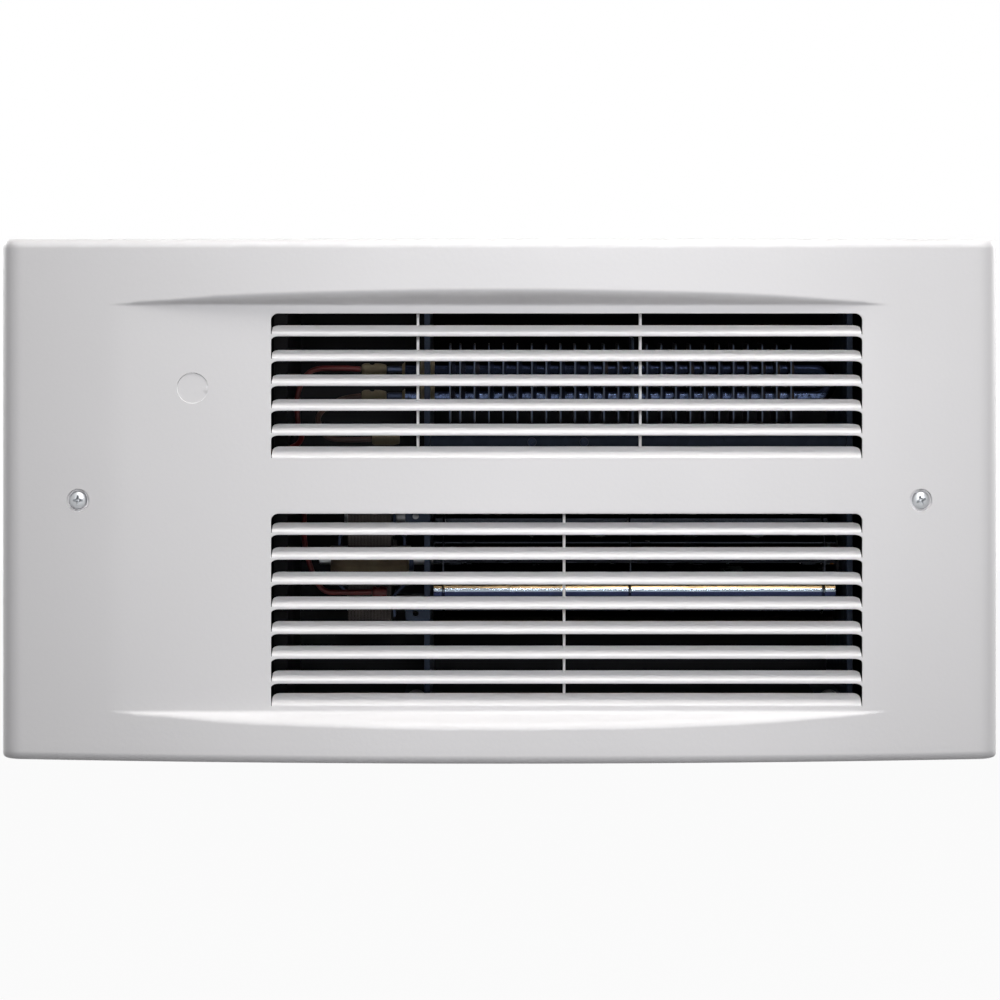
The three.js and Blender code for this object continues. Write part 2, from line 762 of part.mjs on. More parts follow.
addPart('wall_can', wallCan(), COLOURS.dark);
addPart('cable_clamp', cableClamp(), COLOURS.zinc);
addPart('cable_clamp_locknut', clampNut(), COLOURS.zinc);

// ---------------------------------------------------------------- chassis end plates
const bushRadius = ELEMENT.tubeRadius + BUSH.wall;

function endPlate(airFace, side) {
  const outer = airFace + side * CHASSIS.sheet;
  const outline = polygon([
    [CHASSIS.front, floorZ],
    [plateBack, floorZ],
    [plateBack, plateTop - CHASSIS.rearChamfer],
    [plateBack - CHASSIS.rearChamfer, plateTop],
    [CHASSIS.front, plateTop],
  ]);
  const lipX = airFace + side * (CHASSIS.lipWidth + CHASSIS.sheet);
  const lip = box(Math.min(airFace, lipX), Math.max(airFace, lipX),
    CHASSIS.front, CHASSIS.front + CHASSIS.sheet, floorZ + CHASSIS.sheet, plateTop);
  return alongX(outline, Math.min(airFace, outer), Math.max(airFace, outer)).add(lip);
}

function footOf(x) {
  const [front, back] = CHASSIS_SCREW.depths;
  const plate = box(x - CHASSIS.footWidth / 2, x + CHASSIS.footWidth / 2,
    front - CHASSIS.footMargin, back + CHASSIS.footMargin, floorZ, floorZ + CHASSIS.sheet);
  return without(plate, CHASSIS_SCREW.depths.map((y) => footHole(x, y)));
}

// A drilled ear that stands out from the left plate's front edge.
function ear(z) {
  const x = plateLeft - EAR.reach;
  const half = EAR.size / 2;
  const root = plateLeft - CHASSIS.sheet / 2;
  const shape = roundedRectangle(x - half, root, z - half, z + half, EAR.cornerRadius);
  const tab = alongY(shape, CHASSIS.front, CHASSIS.front + CHASSIS.sheet);
  return tab.subtract(hole('Y', EAR.holeRadius, x, CHASSIS.front, z, 12));
}

function leftEndPlate() {
  const ears = [ear(shaftZ + EAR.aboveShaft), ear(shaftZ - EAR.belowShaft)];
  const tubes = [lowerLeg, upperLeg].map((z) => hole('X', bushRadius + GAP, plateLeft, elementY, z, 12));
  const shaftHole = hole('X', BEARING.holeRadius, plateLeft, shaftY, shaftZ, 12);
  const motorHoles = Object.values(motorScrewHeights).map((z) =>
    hole('X', MOTOR.screwRadius + GAP, plateLeft, shaftY, z));
  const whole = joined([endPlate(plateLeft, -1), footOf(footX.left), ...ears]);
  return without(whole, [...tubes, shaftHole, ...motorHoles]);
}

function rightEndPlate() {
  const whole = endPlate(plateRight, 1).add(footOf(footX.right));
  return whole.subtract(hole('X', BEARING.holeRadius, plateRight, shaftY, shaftZ, 12));
}

// A dividing plate that closes off the wiring space, with a rounded slot for the leads.
function wiringDivider() {
  const right = DIVIDER.x + CHASSIS.sheet / 2;
  const sheet = box(right - CHASSIS.sheet, right, CHASSIS.front, insideY, floorZ, insideZ);
  const lip = box(DIVIDER.x - DIVIDER.lipWidth, right,
    CHASSIS.front, CHASSIS.front + CHASSIS.sheet, floorZ, insideZ);
  const slot = roundedRectangle(
    DIVIDER.slotDepth - DIVIDER.slotLength / 2, DIVIDER.slotDepth + DIVIDER.slotLength / 2,
    DIVIDER.slotHeight - DIVIDER.slotWidth / 2, DIVIDER.slotHeight + DIVIDER.slotWidth / 2,
    DIVIDER.slotRadius,
  );
  return sheet.add(lip).subtract(alongX(slot, DIVIDER.x - HOLE_REACH, DIVIDER.x + HOLE_REACH));
}

function chassisScrew(x, y) {
  const seat = floorZ + CHASSIS.sheet;
  const top = seat + CHASSIS_SCREW.headHeight;
  const half = CHASSIS_SCREW.slotWidth / 2;
  const head = rod('Z', CHASSIS_SCREW.headRadius, -CHASSIS_SCREW.headHeight, 0, x, y, top);
  const tail = CHASSIS.sheet + CAN.sheet + CHASSIS_SCREW.tailLength;
  const shank = rod('Z', CHASSIS_SCREW.shankRadius, -tail, 0.5, x, y, seat, 8);
  const slot = box(x - HOLE_REACH, x + HOLE_REACH, y - half, y + half, top - CHASSIS_SCREW.slotDepth, 0);
  return head.add(shank).subtract(slot);
}

addPart('left_end_plate', leftEndPlate(), COLOURS.galvanised);
addPart('right_end_plate', rightEndPlate(), COLOURS.galvanised);
addPart('wiring_divider', wiringDivider(), COLOURS.dark);
for (const [side, x] of Object.entries(footX)) {
  const [front, rear] = CHASSIS_SCREW.depths;
  addPart(`chassis_screw_${side}_front`, chassisScrew(x, front), COLOURS.zinc);
  addPart(`chassis_screw_${side}_rear`, chassisScrew(x, rear), COLOURS.zinc);
}

// ---------------------------------------------------------------- air guides
const guideLeft = plateLeft + GAP;
const guideRight = plateRight - GAP;

// The rear scroll: round under and behind the wheel, then up and forward over the element.
function rearScroll() {
  const back = insideY - SCROLL.backGap;
  const top = insideZ - SCROLL.topGap;
  const clear = WHEEL.radius + SCROLL.wheelGap;
  const under = arcPoints(shaftY, shaftZ, clear, degrees(-122), degrees(-36), 8);
  const rise = SCROLL.lean.map(([before, above]) => [back - before, shaftZ + above]);
  const centre = [back - SCROLL.bendRadius, top - SCROLL.bendRadius];
  const over = arcPoints(...centre, SCROLL.bendRadius, 0, degrees(90), 7);
  const path = [...under, ...rise, ...over, [CHASSIS.front + SCROLL.frontReach, top]];
  return alongX(bentSheet(path, SCROLL.sheet), guideLeft, guideRight);
}

const limitX = {
  left: plateLeft + LIMIT.fromPlate,
  right: plateLeft + LIMIT.fromPlate + LIMIT.holeSpacing,
};
const limitZ = shelfZ - LIMIT.belowShelf;
const lipBack = CHASSIS.front + BAFFLE.sheet;
const limitHoles = () => Object.values(limitX).map((x) => hole('Y', LIMIT.holeRadius, x, lipBack, limitZ));

// The baffle between the banks: a front lip, a level shelf and a tongue that nears the wheel.
function dividingBaffle() {
  const tongueRadius = WHEEL.radius + BAFFLE.tongueGap;
  const [runY, runZ] = BAFFLE.tongueRun;
  const tongueY = shaftY + tongueRadius * Math.cos(BAFFLE.tongueAngle);
  const tongueZ = shaftZ + tongueRadius * Math.sin(BAFFLE.tongueAngle);
  const path = [
    [lipBack, shelfZ - BAFFLE.lipHeight],
    [lipBack, shelfZ - BAFFLE.sheet],
    [CHASSIS.front + BAFFLE.shelfDepth, shelfZ - BAFFLE.sheet],
    [tongueY - runY, tongueZ + runZ],
    [tongueY, tongueZ],
  ];
  return without(alongX(bentSheet(path, BAFFLE.sheet), guideLeft, guideRight), limitHoles());
}

// The high-limit switch behind the lip, with its mounting strap and two terminal blades.
function limitSwitch() {
  const centre = (limitX.left + limitX.right) / 2;
  const ceiling = shelfZ - BAFFLE.sheet - GAP;
  const bodyBack = lipBack + LIMIT.bodyDepth;
  const strap = box(limitX.left - LIMIT.strapMargin, limitX.right + LIMIT.strapMargin,
    lipBack, lipBack + LIMIT.strapSheet, limitZ - LIMIT.strapBelow, ceiling);
  const body = box(centre - LIMIT.bodyWidth / 2, centre + LIMIT.bodyWidth / 2,
    lipBack + LIMIT.strapSheet / 2, bodyBack, ceiling - LIMIT.bodyHeight, ceiling);
  const bladeTop = ceiling - LIMIT.bladeTop;
  const blades = [-1, 1].map((side) => {
    const x = centre + (side * LIMIT.bladeSpacing) / 2;
    return box(x - LIMIT.bladeSheet / 2, x + LIMIT.bladeSheet / 2,
      bodyBack - 1, bodyBack + LIMIT.bladeLength, bladeTop - LIMIT.bladeHeight, bladeTop);
  });
  return without(joined([strap, body, ...blades]), limitHoles());
}

function limitScrew(x) {
  const dome = [
    [0, 0], [LIMIT.headRadius, 0], [LIMIT.headRadius, LIMIT.headHeight / 2],
    [LIMIT.headRadius * 0.64, LIMIT.headHeight], [0, LIMIT.headHeight],
  ];
  const head = revolved('Y', dome, 0, 0, 0, 10).rotate([180, 0, 0]);
  const half = LIMIT.slotWidth / 2;
  const slot = box(-HOLE_REACH, HOLE_REACH, -HOLE_REACH, LIMIT.slotDepth - LIMIT.headHeight, -half, half);
  const shank = rod('Y', LIMIT.screwRadius, -0.5, LIMIT.screwLength, 0, 0, 0, 8);
  return head.subtract(slot).add(shank).translate([x, CHASSIS.front, limitZ]);
}

addPart('rear_scroll', rearScroll(), COLOURS.dark);
addPart('dividing_baffle', dividingBaffle(), COLOURS.galvanised);
addPart('high_limit_switch', limitSwitch(), COLOURS.phenolic);
addPart('limit_screw_left', limitScrew(limitX.left), COLOURS.zinc);
addPart('limit_screw_right', limitScrew(limitX.right), COLOURS.zinc);

// ---------------------------------------------------------------- finned heating element
const legEnd = plateLeft - ELEMENT.leftReach;
const terminalEnd = legEnd - ELEMENT.terminalLength;
const bendX = plateRight - ELEMENT.bendGap;
const finStart = plateLeft + ELEMENT.secondFin;
const bracketX = finStart + ELEMENT.bracketFin * ELEMENT.finPitch;

function finPlaces() {
  const count = Math.floor((bendX - ELEMENT.lastFinGap - finStart) / ELEMENT.finPitch) + 1;
  const even = Array.from({ length: count }, (_, i) => finStart + i * ELEMENT.finPitch);
  return [plateLeft + ELEMENT.firstFin, ...even.filter((_, i) => i !== ELEMENT.bracketFin)];
}

function finnedElement() {
  const straights = [lowerLeg, upperLeg].map((z) =>
    rod('X', ELEMENT.tubeRadius, legEnd, bendX, 0, elementY, z, 8));
  const terminals = [lowerLeg, upperLeg].map((z) =>
    rod('X', ELEMENT.terminalRadius, terminalEnd, legEnd + 1, 0, elementY, z, 8));
  const bend = arcPoints(bendX - 0.5, (lowerLeg + upperLeg) / 2, ELEMENT.legSpacing / 2,
    -Math.PI / 2, Math.PI / 2, 12);
  const bendPath = new THREE.CatmullRomCurve3(bend.map(([x, z]) => new THREE.Vector3(x, elementY, z)));
  const fins = finPlaces().map((x) => box(x - ELEMENT.finSheet / 2, x + ELEMENT.finSheet / 2,
    finFront, finFront + ELEMENT.finDepth, finBottom, finTop));
  return joined([...straights, tube(bendPath, ELEMENT.tubeRadius, 8, 8), ...terminals, ...fins]);
}

function elementBush(z) {
  const outer = plateLeft - BUSH.outerReach;
  const seat = plateLeft - CHASSIS.sheet;
  const inner = plateLeft + BUSH.innerReach;
  const bore = ELEMENT.tubeRadius + GAP;
  const flange = bushRadius + BUSH.flangeLip;
  return revolved('X', [
    [bore, outer], [flange, outer], [flange, seat], [bushRadius, seat],
    [bushRadius, inner], [bore, inner], [bore, outer],
  ], 0, elementY, z);
}

// The middle bracket: a plate on the baffle's shelf with a round hole for each leg.
function midBracket() {
  const left = bracketX - BRACKET.sheet / 2;
  const footFront = finFront + BRACKET.footInset;
  const plate = box(left, left + BRACKET.sheet, finFront, finFront + ELEMENT.finDepth,
    shelfZ, finTop + BRACKET.overFins);
  const foot = box(left, bracketX + BRACKET.footLength, footFront, footFront + BRACKET.footWidth,
    shelfZ, shelfZ + BRACKET.sheet);
  const holes = [lowerLeg, upperLeg].map((z) =>
    hole('X', ELEMENT.tubeRadius + GAP, bracketX, elementY, z, 12));
  return without(plate.add(foot), holes);
}

addPart('finned_element', finnedElement(), COLOURS.sheath);
addPart('element_bush_lower', elementBush(lowerLeg), COLOURS.ceramic);
addPart('element_bush_upper', elementBush(upperLeg), COLOURS.ceramic);
addPart('element_mid_bracket', midBracket(), COLOURS.galvanised);

// ---------------------------------------------------------------- crossflow blower wheel
const onShaft = (radius, from, to, segments) => rod('X', radius, from, to, 0, shaftY, shaftZ, segments);

// A forward-curved blade from the inner circle to just under the discs' rims.
function bladeShape(angle) {
  const at = (radius, lag) => new THREE.Vector2(
    shaftY + radius * Math.cos(angle + lag),
    shaftZ + radius * Math.sin(angle + lag),
  );
  const tipRadius = WHEEL.radius - WHEEL.bladeInset;
  const tip = at(tipRadius, WHEEL.bladeLag);
  const root = at(WHEEL.bladeInnerRadius, 0);
  const belly = at((tipRadius + WHEEL.bladeInnerRadius) / 2, WHEEL.bladeLag * WHEEL.bladeBelly);
  const curve = new THREE.QuadraticBezierCurve(root, belly, tip);
  return bentSheet(curve.getPoints(2).map((p) => [p.x, p.y]), WHEEL.bladeSheet);
}

function blowerWheel() {
  const blades = Array.from({ length: WHEEL.blades }, (_, i) =>
    alongX(bladeShape((i / WHEEL.blades) * Math.PI * 2), wheelLeft, wheelRight));
  const halfSheet = WHEEL.discSheet / 2;
  const discs = [leftDisc, middleDisc, rightDisc].map((x) =>
    onShaft(WHEEL.radius, x - halfSheet, x + halfSheet, 24));
  const hubs = [
    onShaft(WHEEL.hubRadius, leftDisc, leftDisc + WHEEL.hubLength, 12),
    onShaft(WHEEL.hubRadius, rightDisc - WHEEL.hubLength, rightDisc, 12),
  ];
  const eye = onShaft(WHEEL.eyeRadius, middleDisc - HOLE_REACH, middleDisc + HOLE_REACH, 14);
  const bore = SHAFT.radius + GAP;
  const bores = [
    onShaft(bore, leftDisc - HOLE_REACH, leftDisc + WHEEL.hubLength + HOLE_REACH, 10),
    onShaft(bore, rightDisc - WHEEL.hubLength - HOLE_REACH, rightDisc + HOLE_REACH, 10),
  ];
  return without(joined([...discs, ...hubs, ...blades]), [...bores, eye]);
}

// The motor's rotor with its end rings, on the shaft that carries the wheel's left hub.
function motorRotor() {
  const left = stackLeft + 0.5;
  const right = stackRight - 0.5;
  const radius = MOTOR.boreRadius - MOTOR.rotorGap;
  const body = onShaft(radius, left, right, 16);
  const rings = onShaft(radius - MOTOR.endRing, left - MOTOR.endRing, right + MOTOR.endRing, 12);
  const shaft = onShaft(SHAFT.radius, stackLeft - SHAFT.pastMotor, leftDisc + WHEEL.hubLength, 10);
  return joined([body, rings, shaft]);
}
const stubShaft = () =>
  onShaft(SHAFT.radius, rightDisc - WHEEL.hubLength, plateRight + SHAFT.pastPlate, 10);

// The right bearing: a bronze sleeve in a rubber grommet that grips the end plate.
const bronzeRadius = SHAFT.radius + GAP + BEARING.wall;
const bearingSleeve = () => sleeve('X', SHAFT.radius + GAP, bronzeRadius,
  -BEARING.innerReach, BEARING.outerReach, plateRight, shaftY, shaftZ);

function bearingGrommet() {
  const inner = bronzeRadius + GAP;
  const lip = BEARING.holeRadius + BEARING.grommetLip;
  const groove = BEARING.holeRadius - GAP;
  const outside = CHASSIS.sheet + BEARING.grommetLip;
  return revolved('X', [
    [inner, -BEARING.grommetLip], [lip, -BEARING.grommetLip], [lip, -GAP], [groove, -GAP],
    [groove, CHASSIS.sheet + GAP], [lip, CHASSIS.sheet + GAP], [lip, outside], [inner, outside],
    [inner, -BEARING.grommetLip],
  ], plateRight, shaftY, shaftZ);
}

addPart('blower_wheel', blowerWheel(), COLOURS.aluminium);
addPart('blower_stub_shaft', stubShaft(), COLOURS.zinc);
addPart('motor_rotor_and_shaft', motorRotor(), COLOURS.zinc);
addPart('blower_bearing_sleeve', bearingSleeve(), COLOURS.bronze);
addPart('blower_bearing_grommet', bearingGrommet(), COLOURS.rubber);

// ---------------------------------------------------------------- shaded-pole motor
const coreTop = shaftZ + MOTOR.halfHeight;
const coreBottom = shaftZ - MOTOR.halfHeight;
const windowFront = stackFront + MOTOR.legWidth;
const windowTop = coreTop - MOTOR.armHeight;
const windowBottom = coreBottom + MOTOR.armHeight;
const motorScrewHoles = () => Object.values(motorScrewHeights).map((z) =>
  rod('X', MOTOR.screwRadius + GAP, -FAR, FAR, 0, shaftY, z, 8));

function motorCore() {
  const outline = roundedRectangle(stackFront, stackBack, coreBottom, coreTop, MOTOR.cornerRadius);
  const window = box(-FAR, FAR, windowFront, windowFront + MOTOR.windowWidth, windowBottom, windowTop);
  const half = MOTOR.poleSlotWidth / 2;
  const slotFront = stackBack - MOTOR.poleSlotDepth;
  const poleSlot = box(-FAR, FAR, slotFront, stackBack + 1, shaftZ - half, shaftZ + half);
  const tools = [window, onShaft(MOTOR.boreRadius, -FAR, FAR, 20), poleSlot, ...motorScrewHoles()];
  return without(alongX(outline, stackLeft, stackRight), tools);
}

// The taped coil with its two end cheeks, round the core's front leg.
function motorCoil() {
  const left = stackLeft - GAP;
  const right = stackRight + GAP;
  const front = stackFront - GAP;
  const back = windowFront + GAP;
  const backBuild = MOTOR.windowWidth - 2 * GAP;
  const around = (lip, z0, z1, radius) => alongZ(roundedRectangle(
    left - COIL.build - lip, right + COIL.build + lip, front - COIL.frontBuild, back + backBuild, radius,
  ), z0, z1);
  const z0 = windowBottom + GAP;
  const z1 = windowTop - GAP;
  const winding = around(0, z0 + 1, z1 - 1, COIL.cornerRadius);
  const cheeks = [
    around(COIL.cheekLip, z0, z0 + COIL.cheekSheet, COIL.cornerRadius / 2),
    around(COIL.cheekLip, z1 - COIL.cheekSheet, z1, COIL.cornerRadius / 2),
  ];
  return joined([winding, ...cheeks]).subtract(box(left, right, front, back, -FAR, FAR));
}

// A bearing strap: feet on the stack, a raised bridge and a bearing boss on the shaft.
function bearingStrap(side) {
  const face = side < 0 ? stackLeft : stackRight;
  const bridge = face + STRAP.rise * side;
  const bend = MOTOR.halfHeight - STRAP.foot;
  const path = [
    [face, shaftZ - MOTOR.halfHeight],
    [face, shaftZ - bend],
    [bridge, shaftZ - bend + STRAP.slope],
    [bridge, shaftZ + bend - STRAP.slope],
    [face, shaftZ + bend],
    [face, shaftZ + MOTOR.halfHeight],
  ];
  const ordered = side < 0 ? path : path.reverse();
  const front = shaftY - STRAP.width / 2;
  const strap = alongY(bentSheet(ordered, STRAP.sheet), front, front + STRAP.width);
  const bossRoot = bridge - side;
  const bossEnd = bossRoot + side * STRAP.bossLength;
  const boss = onShaft(STRAP.bossRadius, Math.min(bossRoot, bossEnd), Math.max(bossRoot, bossEnd), 12);
  return without(strap.add(boss), [onShaft(SHAFT.radius + GAP, -FAR, FAR, 10), ...motorScrewHoles()]);
}

function motorScrew(z) {
  const seat = stackLeft - STRAP.sheet;
  const head = rod('X', MOTOR.screwHeadRadius, seat - MOTOR.screwHeadHeight, seat, 0, shaftY, z, 6);
  return head.add(rod('X', MOTOR.screwRadius, seat - 1, plateLeft + 1, 0, shaftY, z, 8));
}
const motorSpacer = (z) => sleeve('X', MOTOR.screwRadius + GAP, MOTOR.spacerRadius,
  stackRight + STRAP.sheet, plateLeft - CHASSIS.sheet, 0, shaftY, z);

addPart('motor_core', motorCore(), COLOURS.lamination);
addPart('motor_coil', motorCoil(), COLOURS.tape);
addPart('motor_bearing_strap_left', bearingStrap(-1), COLOURS.zinc);
addPart('motor_bearing_strap_right', bearingStrap(1), COLOURS.zinc);
for (const [end, z] of Object.entries(motorScrewHeights)) {
  addPart(`motor_screw_${end}`, motorScrew(z), COLOURS.zinc);
  addPart(`motor_spacer_${end}`, motorSpacer(z), COLOURS.zinc);
}

// ---------------------------------------------------------------- wiring
// A crimped connector that caps the end of a lead, along X from its open left end.
function crimp(x, y, z, length) {
  return revolved('X', [
    [0, 0], [CRIMP.mouthRadius, 0], [CRIMP.radius, CRIMP.taper],
    [CRIMP.radius, length - CRIMP.tail], [CRIMP.mouthRadius, length], [0, length],
  ], x, y, z);
}

// A wire nut, mouth towards +X.
function wireNut(x, y, z) {
  return revolved('X', [
    [0, 0], [WIRE_NUT.tipRadius, 0], [WIRE_NUT.neckRadius, 3],
    [WIRE_NUT.mouthRadius, WIRE_NUT.length - 2],
    [WIRE_NUT.mouthRadius, WIRE_NUT.length],
    [0, WIRE_NUT.length],
  ], x, y, z);
}

function groundScrew() {
  const head = rod('Y', GROUND_SCREW.headRadius, -GROUND_SCREW.headHeight, 0, 0, 0, 0, 6);
  const shank = rod('Y', GROUND_SCREW.shankRadius, -1, GROUND_SCREW.shankLength, 0, 0, 0, 8);
  return head.add(shank).translate([groundX, insideY, groundZ]);
}

const elementCrimpX = terminalEnd - GAP - CRIMP.elementLength;
const elementLeadX = elementCrimpX - GAP - 0.1;
const splice = { x: terminalEnd - 7, y: elementY - 7, z: shelfZ - 2.3 };
const motorCrimp = {
  x: stackLeft + 12.1,
  y: stackFront - GAP - CRIMP.radius,
  z: windowBottom - CRIMP.radius,
};
const nutX = WIRE_NUT.fromCanSide - insideX;
const nutMouth = nutX + WIRE_NUT.length + GAP + 0.1;
const nutY = DIVIDER.slotDepth + WIRE_NUT.behindSlot;
const nutZ = { left: DIVIDER.slotHeight - 2, right: DIVIDER.slotHeight - 22 };

const elementCrimp = (z) => crimp(elementCrimpX, elementY, z, CRIMP.elementLength);
const frontSplice = crimp(splice.x, splice.y, splice.z, CRIMP.spliceLength);
const redCrimp = crimp(motorCrimp.x, motorCrimp.y, motorCrimp.z, CRIMP.motorLength);
addPart('element_crimp_upper', elementCrimp(upperLeg), COLOURS.ceramic);
addPart('element_crimp_lower', elementCrimp(lowerLeg), COLOURS.ceramic);
addPart('lead_splice_front', frontSplice, COLOURS.ceramic);
addPart('motor_lead_crimp', redCrimp, COLOURS.red);
addPart('wire_nut_left', wireNut(nutX, nutY, nutZ.left), COLOURS.red);
addPart('wire_nut_right', wireNut(nutX, nutY, nutZ.right), COLOURS.black);
addPart('ground_screw', groundScrew(), COLOURS.zinc);
addPart('lead_element_upper', wire([
  [elementLeadX, elementY, upperLeg],
  [elementLeadX - 10.3, elementY, upperLeg + 0.5],
  [DIVIDER.x + 11, elementY - 7, upperLeg - 1],
  [DIVIDER.x + 5.4, elementY - 12, upperLeg - 11],
  [DIVIDER.x + 5.2, elementY - 10, upperLeg - 25],
  [DIVIDER.x + 6, elementY + 2, DIVIDER.slotHeight + 7],
  [DIVIDER.x, DIVIDER.slotDepth, DIVIDER.slotHeight + 2],
  [nutMouth + 11.6, nutY - 1, nutZ.left + 1],
  [nutMouth, nutY, nutZ.left],
]), COLOURS.red);
addPart('lead_element_lower', wire([
  [elementLeadX, elementY, lowerLeg],
  [elementLeadX - 10.3, elementY - 2, lowerLeg - 2],
  [splice.x - 26, splice.y - 1, lowerLeg - 10],
  [splice.x - 22, splice.y - 4, splice.z + 1.8],
  [splice.x - 12, splice.y - 1, splice.z - 0.2],
  [splice.x - GAP - 0.1, splice.y, splice.z],
]), COLOURS.brown);
addPart('lead_motor_red', wire([
  [motorCrimp.x - GAP - 0.1, motorCrimp.y, motorCrimp.z],
  [motorCrimp.x - 12.5, motorCrimp.y, motorCrimp.z - 0.2],
  [stackLeft - 12, motorCrimp.y + 0.5, motorCrimp.z + 1.2],
  [DIVIDER.x + 9, motorCrimp.y + 4, motorCrimp.z + 19.6],
  [DIVIDER.x + 7, DIVIDER.slotDepth - 6, DIVIDER.slotHeight - 22],
  [DIVIDER.x + 5, DIVIDER.slotDepth - 1, DIVIDER.slotHeight - 6],
  [DIVIDER.x - 2, DIVIDER.slotDepth, DIVIDER.slotHeight - 4],
  [nutMouth + 11.6, nutY - 1, nutZ.right + 4],
  [nutMouth, nutY, nutZ.right],
]), COLOURS.red);

export default heater;
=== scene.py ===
"""Looks of a recessed bathroom wall fan heater: a bowed, powder-coated cover with two banks of louvres
over a can that holds a crossflow blower, its motor and a finned element. Sizes are in millimetres."""
import logging
import math
from dataclasses import dataclass, field
from enum import Enum
from typing import Callable, Iterable, Sequence

import bmesh
import bpy
import numpy as np
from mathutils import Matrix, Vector


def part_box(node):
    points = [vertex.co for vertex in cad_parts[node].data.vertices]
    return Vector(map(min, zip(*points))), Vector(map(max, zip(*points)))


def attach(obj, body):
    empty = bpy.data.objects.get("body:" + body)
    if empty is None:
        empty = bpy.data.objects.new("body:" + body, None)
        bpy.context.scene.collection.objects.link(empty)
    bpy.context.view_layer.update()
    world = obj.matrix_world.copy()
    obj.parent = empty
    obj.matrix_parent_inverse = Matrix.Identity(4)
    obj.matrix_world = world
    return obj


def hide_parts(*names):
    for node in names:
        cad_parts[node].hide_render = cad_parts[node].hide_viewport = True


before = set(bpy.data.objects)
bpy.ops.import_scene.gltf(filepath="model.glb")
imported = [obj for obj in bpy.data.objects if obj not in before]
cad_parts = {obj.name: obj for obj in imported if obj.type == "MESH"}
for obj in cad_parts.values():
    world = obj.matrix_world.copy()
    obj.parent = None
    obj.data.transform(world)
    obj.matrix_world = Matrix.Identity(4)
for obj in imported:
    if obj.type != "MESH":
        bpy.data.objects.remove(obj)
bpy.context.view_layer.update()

MM = 0.001
ON_AXIS = 1e-6
WHITE_RAYS = ("Is Camera Ray", "Is Glossy Ray", "Is Transmission Ray")
log = logging.getLogger("heater")

Point = tuple[float, float]
Place = tuple[float, float, float]
Colour = tuple[float, float, float, float]
Faces = list[tuple[int, ...]]
Piece = bpy.types.Object
Material = bpy.types.Material


# ---- shader maths
def add_node(tree: bpy.types.NodeTree, kind: str, settings: dict | None, inputs: dict | None
             ) -> bpy.types.Node:
    """Adds a node to a tree, its settings first and then its links and values."""
    made = tree.nodes.new(kind)
    for key, value in (settings or {}).items():
        setattr(made, key, value)
    for key, value in (inputs or {}).items():
        if isinstance(value, bpy.types.NodeSocket):
            tree.links.new(value, made.inputs[key])
        else:
            made.inputs[key].default_value = value
    return made


class Value:
    """A socket of a material's nodes, with Python's operators for its arithmetic."""

    def __init__(self, shader: "Shader", socket: bpy.types.NodeSocket) -> None:
        """Keeps the socket and the shader that it belongs to."""
        self.shader = shader
        self.socket = socket

    def _with(self, operation: str, first: object, second: object) -> "Value":
        """A Math node on two values."""
        return self.shader.node("ShaderNodeMath", {"operation": operation}, {0: first, 1: second})

    def __add__(self, other: object) -> "Value":
        """Sum."""
        return self._with("ADD", self, other)

    __radd__ = __add__

    def __sub__(self, other: object) -> "Value":
        """Difference."""
        return self._with("SUBTRACT", self, other)

    def __rsub__(self, other: object) -> "Value":
        """Reflected difference."""
        return self._with("SUBTRACT", other, self)

    def __mul__(self, other: object) -> "Value":
        """Product."""
        return self._with("MULTIPLY", self, other)

    __rmul__ = __mul__

    def between(self, low: float, high: float) -> "Value":
        """0 below low, 1 above high, and smooth between them."""
        settings = {"interpolation_type": "SMOOTHSTEP"}
        inputs = {"Value": self, "From Min": low, "From Max": high}
        return self.shader.node("ShaderNodeMapRange", settings, inputs)


